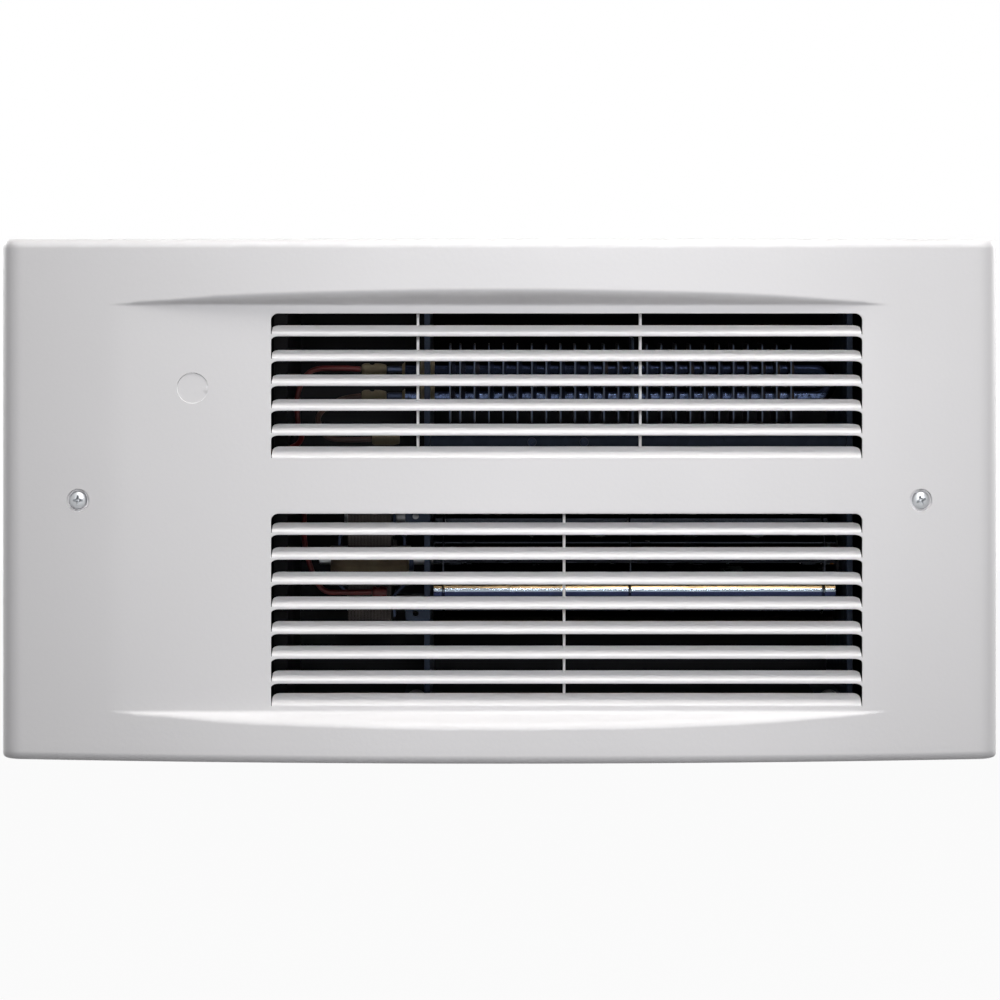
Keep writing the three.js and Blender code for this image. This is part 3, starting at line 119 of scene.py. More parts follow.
class Shader:
    """The node tree of a material or a world, written as expressions."""

    def __init__(self, name: str, world: bool = False) -> None:
        """Makes an empty tree of this name."""
        self.owner = (bpy.data.worlds if world else bpy.data.materials).new(name)
        self.owner.use_nodes = True
        self.tree = self.owner.node_tree
        self.tree.nodes.clear()

    def node(self, kind: str, settings: dict | None = None, inputs: dict | None = None,
             output: int | str = 0) -> Value:
        """Adds one node.

        Args:
            kind: the node's type.
            settings: attributes that are set first.
            inputs: values or links, by socket name or number.
            output: the output that is returned.

        Returns:
            The output as a value; an output node has none.
        """
        plain = {key: value.socket if isinstance(value, Value) else value
                 for key, value in (inputs or {}).items()}
        made = add_node(self.tree, kind, settings, plain)
        return Value(self, made.outputs[output] if made.outputs else None)

    def here(self) -> Value:
        """The point on the surface, in the object's own metres."""
        return self.node("ShaderNodeTexCoord", output="Object")

    def along(self, axis: str) -> Value:
        """One coordinate of the point in millimetres: X, Y or Z."""
        return self.node("ShaderNodeSeparateXYZ", inputs={0: self.here()}, output=axis) * 1000.0

    def stretched(self, scale: Place) -> Value:
        """The point with each axis scaled, for brushed and drawn grain."""
        return self.node("ShaderNodeMapping", inputs={"Vector": self.here(), "Scale": scale})

    def noise(self, scale: float, detail: float = 2.0, at: Value | None = None) -> Value:
        """Soft noise from 0 to 1, scale cells to a metre."""
        inputs = {"Vector": at or self.here(), "Scale": scale, "Detail": detail}
        return self.node("ShaderNodeTexNoise", inputs=inputs)

    def cells(self, scale: float, output: str = "Distance", feature: str = "F1") -> Value:
        """Voronoi cells, scale cells to a metre."""
        inputs = {"Vector": self.here(), "Scale": scale}
        return self.node("ShaderNodeTexVoronoi", {"feature": feature}, inputs, output)

    def blend(self, factor: Value | float, first: object, second: object) -> Value:
        """A mix of two colours."""
        settings = {"data_type": "RGBA"}
        return self.node("ShaderNodeMix", settings, {0: factor, 6: first, 7: second}, 2)

    def bump(self, height: Value, depth_mm: float, strength: float = 1.0) -> Value:
        """A bumped normal; a height of 1 stands for depth_mm."""
        inputs = {"Height": height, "Distance": depth_mm * MM, "Strength": strength}
        return self.node("ShaderNodeBump", inputs=inputs)

    def surface(self, **sockets: object) -> Material:
        """Ends the tree in one Principled shader, whose sockets are named with underscores."""
        inputs = {name.replace("_", " "): value for name, value in sockets.items()}
        body = self.node("ShaderNodeBsdfPrincipled", inputs=inputs)
        self.node("ShaderNodeOutputMaterial", inputs={"Surface": body})
        return self.owner


def srgb(red: int, green: int, blue: int) -> Colour:
    """A colour of 0 to 255 as the linear one that a socket takes."""
    def linear(level: int) -> float:
        """One channel."""
        share = level / 255
        return share / 12.92 if share <= 0.04045 else ((share + 0.055) / 1.055) ** 2.4
    return (linear(red), linear(green), linear(blue), 1.0)


def shaded(colour: tuple, factor: float) -> Colour:
    """A colour made darker or lighter by a factor."""
    return (colour[0] * factor, colour[1] * factor, colour[2] * factor, 1.0)


# ---- finishes
@dataclass(frozen=True)
class PowderCoat:
    """Off-white powder coat with a fine leathery texture."""

    name: str = "powder_coat"
    colour: Colour = srgb(224, 222, 223)
    grain: float = 620.0
    grain_depth: float = 0.06

    def build(self) -> Material:
        """Makes the material."""
        s = Shader(self.name)
        fine = s.noise(self.grain, 3.0)
        leather = s.cells(self.grain * 0.9, feature="SMOOTH_F1")
        patches = s.noise(7.0, 2.0)
        tint = s.blend(patches.between(0.35, 0.65), shaded(self.colour, 0.97), self.colour)
        height = fine * 0.55 + leather * 0.6
        rough = 0.40 + patches * 0.08 + fine * 0.06
        return s.surface(Base_Color=tint, Roughness=rough, Specular_IOR_Level=0.45,
                         Normal=s.bump(height, self.grain_depth, 0.55))


@dataclass(frozen=True)
class PlatedSteel:
    """Zinc plate or drawn steel: fine drawn lines, faint clouding and handling marks."""

    name: str
    colour: Colour
    roughness: float = 0.28
    lines: Place = (40.0, 1400.0, 1400.0)

    def build(self) -> Material:
        """Makes the material."""
        s = Shader(self.name)
        drawn = s.noise(1.0, 3.0, s.stretched(self.lines))
        cloud = s.noise(55.0, 4.0)
        marks = s.noise(240.0, 2.0)
        tint = s.blend(cloud.between(0.3, 0.7), shaded(self.colour, 0.8), self.colour)
        rough = self.roughness + cloud * 0.12 + drawn * 0.1
        return s.surface(Base_Color=tint, Metallic=1.0, Roughness=rough,
                         Normal=s.bump(drawn * 0.7 + marks * 0.3, 0.02, 0.4))


@dataclass(frozen=True)
class Galvanised:
    """Hot-dipped sheet: spangles of slightly different greys, dulled by age."""

    name: str
    colour: Colour
    roughness: float = 0.42
    spangles: float = 170.0

    def build(self) -> Material:
        """Makes the material."""
        s = Shader(self.name)
        spangle = s.cells(self.spangles, "Color")
        grey = s.node("ShaderNodeRGBToBW", inputs={"Color": spangle})
        dust = s.noise(30.0, 5.0)
        tint = s.blend(grey, shaded(self.colour, 0.72), shaded(self.colour, 1.12))
        rough = self.roughness + grey * 0.16 + dust * 0.12
        return s.surface(Base_Color=tint, Metallic=0.9, Roughness=rough,
                         Normal=s.bump(grey * 0.6 + s.noise(500.0) * 0.4, 0.02, 0.35))


@dataclass(frozen=True)
class DarkSheet:
    """Dark stoved paint on sheet: slight orange peel and paler rubbed patches."""

    name: str
    colour: Colour
    roughness: float = 0.6
    shine: float = 0.2

    def build(self) -> Material:
        """Makes the material."""
        s = Shader(self.name)
        peel = s.noise(420.0, 2.0)
        rubbed = s.noise(22.0, 6.0).between(0.58, 0.76)
        tint = s.blend(rubbed, self.colour, shaded(self.colour, 1.9))
        return s.surface(Base_Color=tint, Roughness=self.roughness - rubbed * 0.12 + peel * 0.08,
                         Specular_IOR_Level=self.shine,
                         Normal=s.bump(peel, 0.04, 0.5))


@dataclass(frozen=True)
class BluedFins:
    """Steel fins tinted by heat, dark where they have been hot, with a painted glint: a paler colour along
    their front edges.
    """

    name: str = "fin_steel"
    # edge: the paler colour of the painted glint on the fins' front edges, which lie between the two front
    # depths
    edge: Colour = srgb(84, 92, 108)
    hot: Colour = srgb(24, 28, 40)
    straw: Colour = srgb(42, 36, 32)
    front: Point = (9.3, 10.2)

    def build(self) -> Material:
        """Makes the material."""
        s = Shader(self.name)
        heat = s.noise(34.0, 3.0)
        scale = s.noise(700.0, 2.0)
        tint = s.blend(heat.between(0.45, 0.7), self.hot, self.straw)
        # painted glint: the fins' front edges take the paler colour
        tint = s.blend(s.along("Y").between(*self.front), self.edge, tint)
        return s.surface(Base_Color=tint, Metallic=1.0, Roughness=0.3 + scale * 0.16,
                         Normal=s.bump(scale, 0.02, 0.4))


@dataclass(frozen=True)
class BluedSheath:
    """Sheath of the element: dark oxide, with a painted glint, a blue band along the front of the lower leg.
    """

    name: str = "sheath_steel"
    dark: Colour = srgb(20, 24, 36)
    # the painted glint: its blue colour, its band's height and width, and the depths of the tube's front
    # that it keeps to
    blue: Colour = srgb(98, 113, 148)
    painted_glint_band: Point = (48.0, 1.6)
    front: Point = (18.2, 19.2)

    def build(self) -> Material:
        """Makes the material."""
        s = Shader(self.name)
        height, width = self.painted_glint_band
        z = s.along("Z") + (s.noise(120.0, 2.0) - 0.5) * 1.6
        below = z.between(height - width, height - width * 0.4)
        above = z.between(height + width, height + width * 0.4)
        # mask of the painted glint: a band at the lower leg's height, on the tube's front only
        painted_highlight = below * above * s.along("Y").between(self.front[1], self.front[0])
        scale = s.noise(500.0, 3.0)
        tint = s.blend(painted_highlight * scale.between(0.3, 0.6), self.dark, self.blue)
        return s.surface(Base_Color=tint, Metallic=1.0, Roughness=0.16 + scale * 0.12,
                         Normal=s.bump(scale, 0.02, 0.4))


@dataclass(frozen=True)
class BladeMetal:
    """Rolled aluminium of the blower wheel, dull with dust, with a painted reflection on one blade: gold
    above, a white highlight and blue-grey below.
    """

    name: str = "wheel_aluminium"
    dusty: Colour = srgb(62, 66, 74)
    # the painted reflection on one blade: its white highlight, blue-grey and gold colours, the heights of
    # its bands and the depths that it keeps to
    painted_highlight: Colour = srgb(164, 176, 188)
    blue: Colour = srgb(54, 62, 94)
    painted_gold_reflection: Colour = srgb(76, 64, 46)
    blade: Place = (-46.4, -47.9, -49.6)
    reach: Point = (24.0, 27.0)

    def build(self) -> Material:
        """Makes the material."""
        s = Shader(self.name)
        rolled = s.noise(1.0, 2.0, s.stretched((30.0, 900.0, 900.0)))
        dust = s.noise(90.0, 5.0).between(0.45, 0.8)
        z = s.along("Z") + (s.noise(1.0, 2.0, s.stretched((9.0, 60.0, 60.0))) - 0.5) * 0.2
        upper, middle, low = self.blade
        # painted reflection: a gold band above a white highlight, with blue-grey below it
        painted_reflection = s.blend(z.between(upper - 0.25, upper + 0.25), self.painted_highlight, self.painted_gold_reflection)
        painted_reflection = s.blend(z.between(middle + 0.2, middle - 0.2), painted_reflection, self.blue)
        # where the painted reflection lies: the one blade's height, near the wheel's front
        there = z.between(low - 0.6, low) * s.along("Y").between(self.reach[1], self.reach[0])
        there = there * z.between(upper + 3.0, upper + 2.4)
        tint = s.blend(there, s.blend(dust, self.dusty, shaded(self.dusty, 0.5)), painted_reflection)
        return s.surface(Base_Color=tint, Metallic=1.0, Roughness=0.14 + rolled * 0.1 + dust * 0.16,
                         Normal=s.bump(rolled, 0.015, 0.4))


@dataclass(frozen=True)
class Laminations:
    """Edges of stacked core plates under brown varnish."""

    name: str = "core_laminations"
    colour: Colour = srgb(58, 52, 50)

    def build(self) -> Material:
        """Makes the material."""
        s = Shader(self.name)
        varnish = s.noise(130.0, 4.0)
        tint = s.blend(varnish.between(0.4, 0.7), shaded(self.colour, 0.55), self.colour)
        return s.surface(Base_Color=tint, Metallic=0.6, Roughness=0.38 + varnish * 0.2,
                         Normal=s.bump(varnish, 0.03, 0.4))


@dataclass(frozen=True)
class WovenTape:
    """Insulating tape wound over the coil: a fine weave and the edge of each turn."""

    name: str = "woven_tape"
    colour: Colour = srgb(96, 84, 62)
    turns: float = 420.0

    def build(self) -> Material:
        """Makes the material."""
        s = Shader(self.name)
        weave = s.node("ShaderNodeTexWave", {"wave_type": "BANDS", "bands_direction": "Z"},
                       {"Vector": s.here(), "Scale": self.turns, "Distortion": 0.8, "Detail": 1.0}, 1)
        stain = s.noise(60.0, 4.0).between(0.4, 0.75)
        tint = s.blend(stain, self.colour, srgb(60, 46, 32))
        return s.surface(Base_Color=tint, Roughness=0.72 + weave * 0.1, Normal=s.bump(weave, 0.12, 0.6))


@dataclass(frozen=True)
class Moulded:
    """Moulded plastic, rubber, ceramic or wire covering with a fine skin texture."""

    name: str
    colour: Colour
    roughness: float = 0.5
    texture: float = 800.0
    mottle: float = 0.82

    def build(self) -> Material:
        """Makes the material."""
        s = Shader(self.name)
        skin = s.noise(self.texture, 2.0)
        cloud = s.noise(80.0, 3.0)
        tint = s.blend(cloud.between(0.35, 0.7), shaded(self.colour, self.mottle), self.colour)
        return s.surface(Base_Color=tint, Roughness=self.roughness + skin * 0.1 + cloud * 0.06,
                         Normal=s.bump(skin, 0.03, 0.45))


class Finish(Enum):
    """Every finish of the heater, with the record's slot that it belongs to."""

    ENAMEL = ("white_enamel", PowderCoat())
    ZINC = ("bright_zinc", PlatedSteel("zinc_plate", srgb(192, 194, 197), 0.32))
    # bright zinc darkened as painted shade, for the pieces deep inside the can
    SHADED_ZINC = ("bright_zinc", PlatedSteel("shaded_zinc", srgb(68, 76, 96), 0.34))
    GALVANISED = ("galvanised_sheet", Galvanised("dull_galvanising", srgb(54, 62, 76)))
    DARK = ("black_sheet", DarkSheet("dark_sheet", srgb(21, 21, 24)))
    WHEEL = ("wheel_metal", BladeMetal())
    FINS = ("element_steel", BluedFins())
    SHEATH = ("element_steel", BluedSheath())
    CORE = ("core_steel", Laminations())
    TAPE = ("coil_tape", WovenTape())
    BRONZE = ("bronze", PlatedSteel("oiled_bronze", srgb(150, 108, 62), 0.36, (300.0, 300.0, 300.0)))
    RUBBER = ("black_rubber", Moulded("rubber", srgb(30, 30, 32), 0.78))
    BEIGE = ("beige_insulator", Moulded("beige_ceramic", srgb(104, 94, 72), 0.6))
    PHENOLIC = ("dark_phenolic", Moulded("phenolic", srgb(44, 38, 34), 0.46))
    RED = ("red_insulation", Moulded("red_covering", srgb(92, 14, 12), 0.4))
    BROWN = ("brown_insulation", Moulded("brown_covering", srgb(58, 32, 22), 0.42))
    BLACK = ("black_insulation", Moulded("black_cap", srgb(32, 32, 34), 0.42))

    @property
    def slot(self) -> str:
        """The record's material slot."""
        return self.value[0]

    @property
    def material(self) -> Material:
        """The material, made at its first use."""
        recipe = self.value[1]
        assert recipe.name not in {finish.slot for finish in Finish}
        return bpy.data.materials.get(recipe.name) or recipe.build()


# ---- meshes
class Axis(Enum):
    """The direction that a turned piece's own axis takes."""

    X = 0
    Y = 1
    Z = 2

    def put(self, along: float, first: float, second: float) -> Place:
        """A point from its distance along the axis and its two distances across it."""
        place = [first, second]
        place.insert(self.value, along)
        return tuple(place)


@dataclass(frozen=True)
class NodeBox:
    """A CAD node's box in millimetres."""

    low: Place
    high: Place

    @classmethod
    def of(cls, node: str) -> "NodeBox":
        """Reads a node's box from the frame."""
        low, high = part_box(node)
        return cls(tuple(v / MM for v in low), tuple(v / MM for v in high))

    @property
    def centre(self) -> Place:
        """The middle of the box."""
        return tuple((a + b) / 2 for a, b in zip(self.low, self.high))

    @property
    def lathe(self) -> tuple[float, float, float, Place]:
        """What a piece turned about X has: its start, stop, radius and a point on its axis."""
        return self.low[0], self.high[0], (self.high[1] - self.low[1]) / 2, (0.0, *self.centre[1:])


def placed(name: str, data: bpy.types.ID) -> Piece:
    """A new object at the origin of the scene."""
    made = bpy.data.objects.new(name, data)
    bpy.context.scene.collection.objects.link(made)
    return made


def meshed(name: str, points: Iterable[Place], edges: Sequence[tuple[int, int]], faces: Faces) -> Piece:
    """A new mesh object, its points given in millimetres."""
    mesh = bpy.data.meshes.new(name)
    mesh.from_pydata([tuple(v * MM for v in p) for p in points], edges, faces)
    return placed(name, mesh)


class Skin:
    """Vertices in millimetres and the faces through them."""

    def __init__(self) -> None:
        """Starts empty."""
        self.points: list[Place] = []
        self.faces: Faces = []

    def add(self, points: Iterable[Place]) -> list[int]:
        """Adds vertices and returns their numbers."""
        start = len(self.points)
        self.points.extend(tuple(float(v) for v in p) for p in points)
        return list(range(start, len(self.points)))

    def strip(self, first: Sequence[int], second: Sequence[int]) -> None:
        """Joins two closed rows of vertices with quads."""
        for i in range(len(first)):
            j = (i + 1) % len(first)
            self.faces.append((first[i], first[j], second[j], second[i]))

    def piece(self, name: str, closed: bool = True) -> Piece:
        """Makes the object; a closed mesh has its faces turned outwards."""
        made = meshed(name, self.points, [], self.faces)
        if closed:
            face_outwards(made)
        return made


def face_outwards(piece: Piece) -> None:
    """Merges doubles and turns a closed mesh's faces outwards."""
    work = bmesh.new()
    work.from_mesh(piece.data)
    bmesh.ops.remove_doubles(work, verts=work.verts, dist=1e-7)
    bmesh.ops.recalc_face_normals(work, faces=work.faces)
    work.to_mesh(piece.data)
    work.free()


def settle(piece: Piece) -> Piece:
    """Turns a piece's modifiers into plain mesh."""
    graph = bpy.context.evaluated_depsgraph_get()
    mesh = bpy.data.meshes.new_from_object(piece.evaluated_get(graph))
    piece.modifiers.clear()
    old = piece.data
    piece.data = mesh
    bpy.data.meshes.remove(old)
    return piece


def bevelled(piece: Piece, width: float, angle: float = 35.0) -> Piece:
    """Rounds a piece's sharp edges.

    Args:
        piece: a closed mesh.
        width: in millimetres.
        angle: edges sharper than this many degrees are rounded.

    Returns:
        The same piece.
    """
    bevel = piece.modifiers.new("edges", "BEVEL")
    bevel.width = width * MM
    bevel.segments = 2
    bevel.limit_method = "ANGLE"
    bevel.angle_limit = math.radians(angle)
    return settle(piece)


class Change(Enum):
    """What a tool does to a piece."""

    CUT = "DIFFERENCE"
    JOIN = "UNION"


def combined(piece: Piece, tool: Piece, change: Change) -> Piece:
    """Cuts or joins a piece with a tool, which is then deleted."""
    modifier = piece.modifiers.new("change", "BOOLEAN")
    modifier.operation = change.value
    modifier.solver = "MANIFOLD"
    modifier.object = tool
    settle(piece)
    bpy.data.objects.remove(tool)
    return piece


def turned(profile: Sequence[Point], axis: Axis, centre: Place, segments: int = 48,
           ribs: tuple[int, float] = (0, 0.0)) -> Skin:
    """A body of revolution.

    Args:
        profile: (radius, distance along the axis) points, from axis to axis or closed on themselves.
        axis: the direction of its axis.
        centre: where the profile's distances start.
        segments: facets round it.
        ribs: number of ribs along it and their share of the radius.

    Returns:
        Its skin.
    """
    skin = Skin()
    rows = []
    count, height = ribs
    for radius, along in profile:
        facets = segments if radius > ON_AXIS else 1
        ring = []
        for i in range(facets):
            a = math.tau * i / segments
            r = radius * (1 + height * (math.cos(count * a) - 1) / 2)
            ring.append(axis.put(along, *polar(r, a)))
        row = skin.add([tuple(c + v for c, v in zip(centre, p)) for p in ring])
        rows.append(row * (segments // facets))
    pairs = list(zip(rows, rows[1:]))
    if profile[0][0] > ON_AXIS:
        pairs.append((rows[-1], rows[0]))
    for lower, upper in pairs:
        for i in range(segments):
            j = (i + 1) % segments
            corners = list(dict.fromkeys((lower[i], lower[j], upper[j], upper[i])))
            if len(corners) > 2:
                skin.faces.append(tuple(corners))
    return skin


def softened(profile: Sequence[Point], radius: float = 0.25, steps: int = 3) -> list[Point]:
    """A turned profile with each of its inner corners rounded."""
    line = [profile[0]]
    for before, corner, after in zip(profile, profile[1:], profile[2:]):
        a, b, c = np.array(before, float), np.array(corner, float), np.array(after, float)
        reach = min(radius, 0.45 * np.linalg.norm(a - b), 0.45 * np.linalg.norm(c - b))
        start = b + (a - b) / np.linalg.norm(a - b) * reach
        stop = b + (c - b) / np.linalg.norm(c - b) * reach
        for i in range(steps + 1):
            t = i / steps
            line.append(tuple((1 - t) ** 2 * start + 2 * t * (1 - t) * b + t ** 2 * stop))
    return [*line, profile[-1]]


def prism(outline: Sequence[Point], axis: Axis, start: float, stop: float) -> Skin:
    """A straight solid of one outline.

    Args:
        outline: (first, second) distances across the axis.
        axis: the direction that it runs in.
        start: where it starts along the axis.
        stop: where it stops.

    Returns:
        Its skin.
    """
    skin = Skin()
    near = skin.add([axis.put(start, u, v) for u, v in outline])
    far = skin.add([axis.put(stop, u, v) for u, v in outline])
    skin.strip(near, far)
    skin.faces.append(tuple(reversed(near)))
    skin.faces.append(tuple(far))
    return skin


def loft(rings: Sequence[Sequence[Place]]) -> Skin:
    """A solid through rings of as many points each, closed at both ends."""
    skin = Skin()
    rows = [skin.add(ring) for ring in rings]
    for near, far in zip(rows, rows[1:]):
        skin.strip(near, far)
    skin.faces.append(tuple(rows[0]))
    skin.faces.append(tuple(reversed(rows[-1])))
    return skin


def block(low: Place, high: Place) -> Skin:
    """A box between two corners."""
    outline = [(low[1], low[2]), (high[1], low[2]), (high[1], high[2]), (low[1], high[2])]
    return prism(outline, Axis.X, low[0], high[0])


def rod(axis: Axis, centre: Place, radius: float, start: float, stop: float, segments: int = 48) -> Skin:
    """A cylinder from start to stop along an axis through a centre."""
    return turned([(0.0, start), (radius, start), (radius, stop), (0.0, stop)], axis, centre, segments)


def rounded(low: Point, high: Point, radius: float, steps: int = 6) -> list[Point]:
    """A rectangle's outline with round corners, anticlockwise."""
    (x0, z0), (x1, z1), r = low, high, radius
    return [*arc((x1 - r, z0 + r), r, -90, 0, steps), *arc((x1 - r, z1 - r), r, 0, 90, steps),
            *arc((x0 + r, z1 - r), r, 90, 180, steps), *arc((x0 + r, z0 + r), r, 180, 270, steps)]


def carved(name: str, body: Skin, joins: Sequence[Skin] = (), cuts: Sequence[Skin] = (),
           edge: float = 0.0) -> Piece:
    """A solid that is joined, rounded and then cut.

    Args:
        name: the piece's name.
        body: the first solid.
        joins: solids that are added.
        cuts: solids that are taken away, after the rounding.
        edge: width of the rounding, in millimetres.

    Returns:
        The piece.
    """
    piece = body.piece(name)
    for skin in joins:
        combined(piece, skin.piece("tool"), Change.JOIN)
    if edge:
        bevelled(piece, edge)
    for skin in cuts:
        combined(piece, skin.piece("tool"), Change.CUT)
    return piece


def polar(radius: float, angle: float) -> Point:
    """A point from its distance and its angle in radians."""
    return radius * math.cos(angle), radius * math.sin(angle)


def arc(centre: Point, radius: float, start: float, stop: float, steps: int) -> list[Point]:
    """Points on an arc, its angles in degrees."""
    angles = [math.radians(start + (stop - start) * i / steps) for i in range(steps + 1)]
    return [(centre[0] + radius * math.cos(a), centre[1] + radius * math.sin(a)) for a in angles]


def grown(outline: Sequence[Point], distance: float) -> list[Point]:
    """An anticlockwise outline pushed outwards with mitred corners."""
    result = []
    points = [np.array(p, float) for p in outline]
    for i, here in enumerate(points):
        before = here - points[i - 1]
        after = points[(i + 1) % len(points)] - here
        first = np.array([before[1], -before[0]]) / np.linalg.norm(before)
        second = np.array([after[1], -after[0]]) / np.linalg.norm(after)
        middle = first + second
        middle /= np.linalg.norm(middle)
        result.append(tuple(here + middle * distance / max(float(middle @ first), 0.4)))
    return result


def thickened(line: Sequence[Point], thickness: float) -> list[Point]:
    """A bent sheet's outline: a line of points and its copy to the left at the sheet's thickness."""
    points = [np.array(p, float) for p in line]

    def left(i: int) -> np.ndarray:
        """The way to the left of one stretch."""
        along = points[i + 1] - points[i]
        return np.array([-along[1], along[0]]) / np.linalg.norm(along)

    other = []
    for i, here in enumerate(points):
        before = left(max(i - 1, 0))
        after = left(min(i, len(points) - 2))
        middle = (before + after) / np.linalg.norm(before + after)
        other.append(tuple(here + middle * thickness / float(middle @ after)))
    return [tuple(p) for p in points] + other[::-1]


# ---- geometry node trees
class RepeatTree:
    """A Geometry Nodes tree with named inputs that ends in Realize Instances and Set Material."""

    def __init__(self, name: str, inputs: dict[str, tuple[str, object]]) -> None:
        """Makes the group.

        Args:
            name: the group's name.
            inputs: each input's type and default; a material comes after them.
        """
        self.tree = bpy.data.node_groups.new(name, "GeometryNodeTree")
        face = self.tree.interface
        face.new_socket(name="Geometry", in_out="INPUT", socket_type="NodeSocketGeometry")
        self.sockets = {}
        for label, (kind, default) in (inputs | {"Material": ("Material", None)}).items():
            socket = face.new_socket(name=label, in_out="INPUT", socket_type=f"NodeSocket{kind}")
            if default is not None:
                socket.default_value = default
            self.sockets[label] = socket.identifier
        face.new_socket(name="Geometry", in_out="OUTPUT", socket_type="NodeSocketGeometry")
        self.inlet = self.tree.nodes.new("NodeGroupInput")
        self.outlet = self.tree.nodes.new("NodeGroupOutput")

    def node(self, kind: str, settings: dict | None = None, inputs: dict | None = None
             ) -> bpy.types.Node:
        """Adds one node."""
        return add_node(self.tree, kind, settings, inputs)

    def end(self, instances: bpy.types.NodeSocket) -> None:
        """Realizes the instances, sets their material and gives them out."""
        real = self.node("GeometryNodeRealizeInstances", inputs={"Geometry": instances})
        self.finish(real.outputs[0])

    def finish(self, geometry: bpy.types.NodeSocket) -> None:
        """Sets the material of the geometry and gives it out."""
        dressed = self.node("GeometryNodeSetMaterial",
                            inputs={"Geometry": geometry, "Material": self.inlet.outputs["Material"]})
        self.tree.links.new(dressed.outputs[0], self.outlet.inputs[0])

    def apply(self, piece: Piece, **values: object) -> Piece:
        """Runs the tree on a piece.

        Args:
            piece: carries the one shape that is repeated, or the path.
            values: the tree's inputs, named with underscores.

        Returns:
            The piece as plain mesh.
        """
        modifier = piece.modifiers.new(self.tree.name, "NODES")
        modifier.node_group = self.tree
        for label, value in values.items():
            modifier[self.sockets[label.replace("_", " ")]] = value
        return settle(piece)


def row_tree() -> RepeatTree:
    """A tree that repeats a shape in a straight row."""
    row = RepeatTree("row_of_copies", {
        "Count": ("Int", 1),
        "Step": ("Vector", (0.0, 0.0, 0.0)),
    })
    give = row.inlet.outputs
    line = row.node("GeometryNodeMeshLine", inputs={"Count": give["Count"], "Offset": give["Step"]})
    copies = row.node("GeometryNodeInstanceOnPoints",
                      inputs={"Points": line.outputs[0], "Instance": give["Geometry"]})
    row.end(copies.outputs[0])
    return row


def ring_tree() -> RepeatTree:
    """A tree that repeats a shape round an axis through the origin, by turning it."""
    ring = RepeatTree("ring_of_copies", {
        "Count": ("Int", 1),
        "Turn": ("Vector", (0.0, 0.0, 0.0)),
        "Centre": ("Vector", (0.0, 0.0, 0.0)),
    })
    give = ring.inlet.outputs
    points = ring.node("GeometryNodeMeshLine", inputs={"Count": give["Count"], "Offset": (0, 0, 0)})
    number = ring.node("GeometryNodeInputIndex")
    turn = ring.node("ShaderNodeVectorMath", {"operation": "SCALE"},
                     {0: give["Turn"], "Scale": number.outputs[0]})
    copies = ring.node("GeometryNodeInstanceOnPoints", inputs={
        "Points": points.outputs[0], "Instance": give["Geometry"], "Rotation": turn.outputs[0]})
    moved = ring.node("GeometryNodeTranslateInstances", inputs={
        "Instances": copies.outputs[0], "Translation": give["Centre"], "Local Space": False})
    ring.end(moved.outputs[0])
    return ring


def lead_tree() -> RepeatTree:
    """A tree that draws a round lead along a curve."""
    lead = RepeatTree("lead_on_path", {
        "Radius": ("Float", 0.001),
        "Sides": ("Int", 16),
    })
    give = lead.inlet.outputs
    round_section = lead.node("GeometryNodeCurvePrimitiveCircle", inputs={
        "Resolution": give["Sides"], "Radius": give["Radius"]})
    path = lead.node("GeometryNodeMeshToCurve", inputs={0: give["Geometry"]})
    swept = lead.node("GeometryNodeCurveToMesh", inputs={
        "Curve": path.outputs[0], "Profile Curve": round_section.outputs[0], "Fill Caps": True})
    smooth = lead.node("GeometryNodeSetShadeSmooth", inputs={"Geometry": swept.outputs[0]})
    lead.finish(smooth.outputs[0])
    return lead


@dataclass
class Workshop:
    """The trees that the sub-assemblies share, and how a finished piece is handed over."""

    row: RepeatTree = field(default_factory=row_tree)
    ring: RepeatTree = field(default_factory=ring_tree)
    lead: RepeatTree = field(default_factory=lead_tree)

    def hand_over(self, piece: Piece, finish: Finish, nodes: Sequence[str] = (),
                  body: str = "housing", angle: float = 32.0) -> None:
        """Gives a piece its finish, smooth shading and body, and hides the CAD nodes that it stands for.

        Args:
            piece: the finished mesh.
            finish: its finish.
            nodes: CAD nodes that it replaces.
            body: the CAD body that carries it.
            angle: edges sharper than this stay sharp.
        """
        piece.data.materials.clear()
        piece.data.materials.append(finish.material)
        for polygon in piece.data.polygons:
            polygon.material_index = 0
            polygon.use_smooth = True
        piece.data.set_sharp_from_angle(angle=math.radians(angle))
        weigh = piece.modifiers.new("weigh", "WEIGHTED_NORMAL")
        weigh.keep_sharp = True
        settle(piece)
        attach(piece, body)
        if nodes:
            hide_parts(*nodes)
        log.info("%s: %d faces on %s", piece.name, len(piece.data.polygons), body)

    def refine(self, node: str, finish: Finish, width: float = 0.2, body: str = "housing") -> None:
        """Replaces a CAD node by a copy of it with rounded edges, their width in millimetres."""
        self.hand_over(bevelled(copy_of(node), width), finish, [node], body)

    def tube(self, name: str, points: Sequence[Place], radius: float, sides: int, finish: Finish
             ) -> Piece:
        """A round tube along a line of points, drawn by the lead tree."""
        piece = meshed(name, points, [(i, i + 1) for i in range(len(points) - 1)], [])
        return self.lead.apply(piece, Radius=radius * MM, Sides=sides, Material=finish.material)

    def repeated(self, shape: Piece, count: int, step: Place) -> Piece:
        """Repeats a shape in a straight row, its step in millimetres."""
        return self.row.apply(shape, Count=count, Step=Vector(step) * MM)

    def lathe(self, name: str, profile: Sequence[Point], centre: Place, finish: Finish,
              nodes: Sequence[str] = (), body: str = "housing", segments: int = 48) -> None:
        """Hands over a piece that is turned about a line along X, from its (radius, x) points."""
        self.hand_over(turned(profile, Axis.X, centre, segments).piece(name), finish, nodes, body)


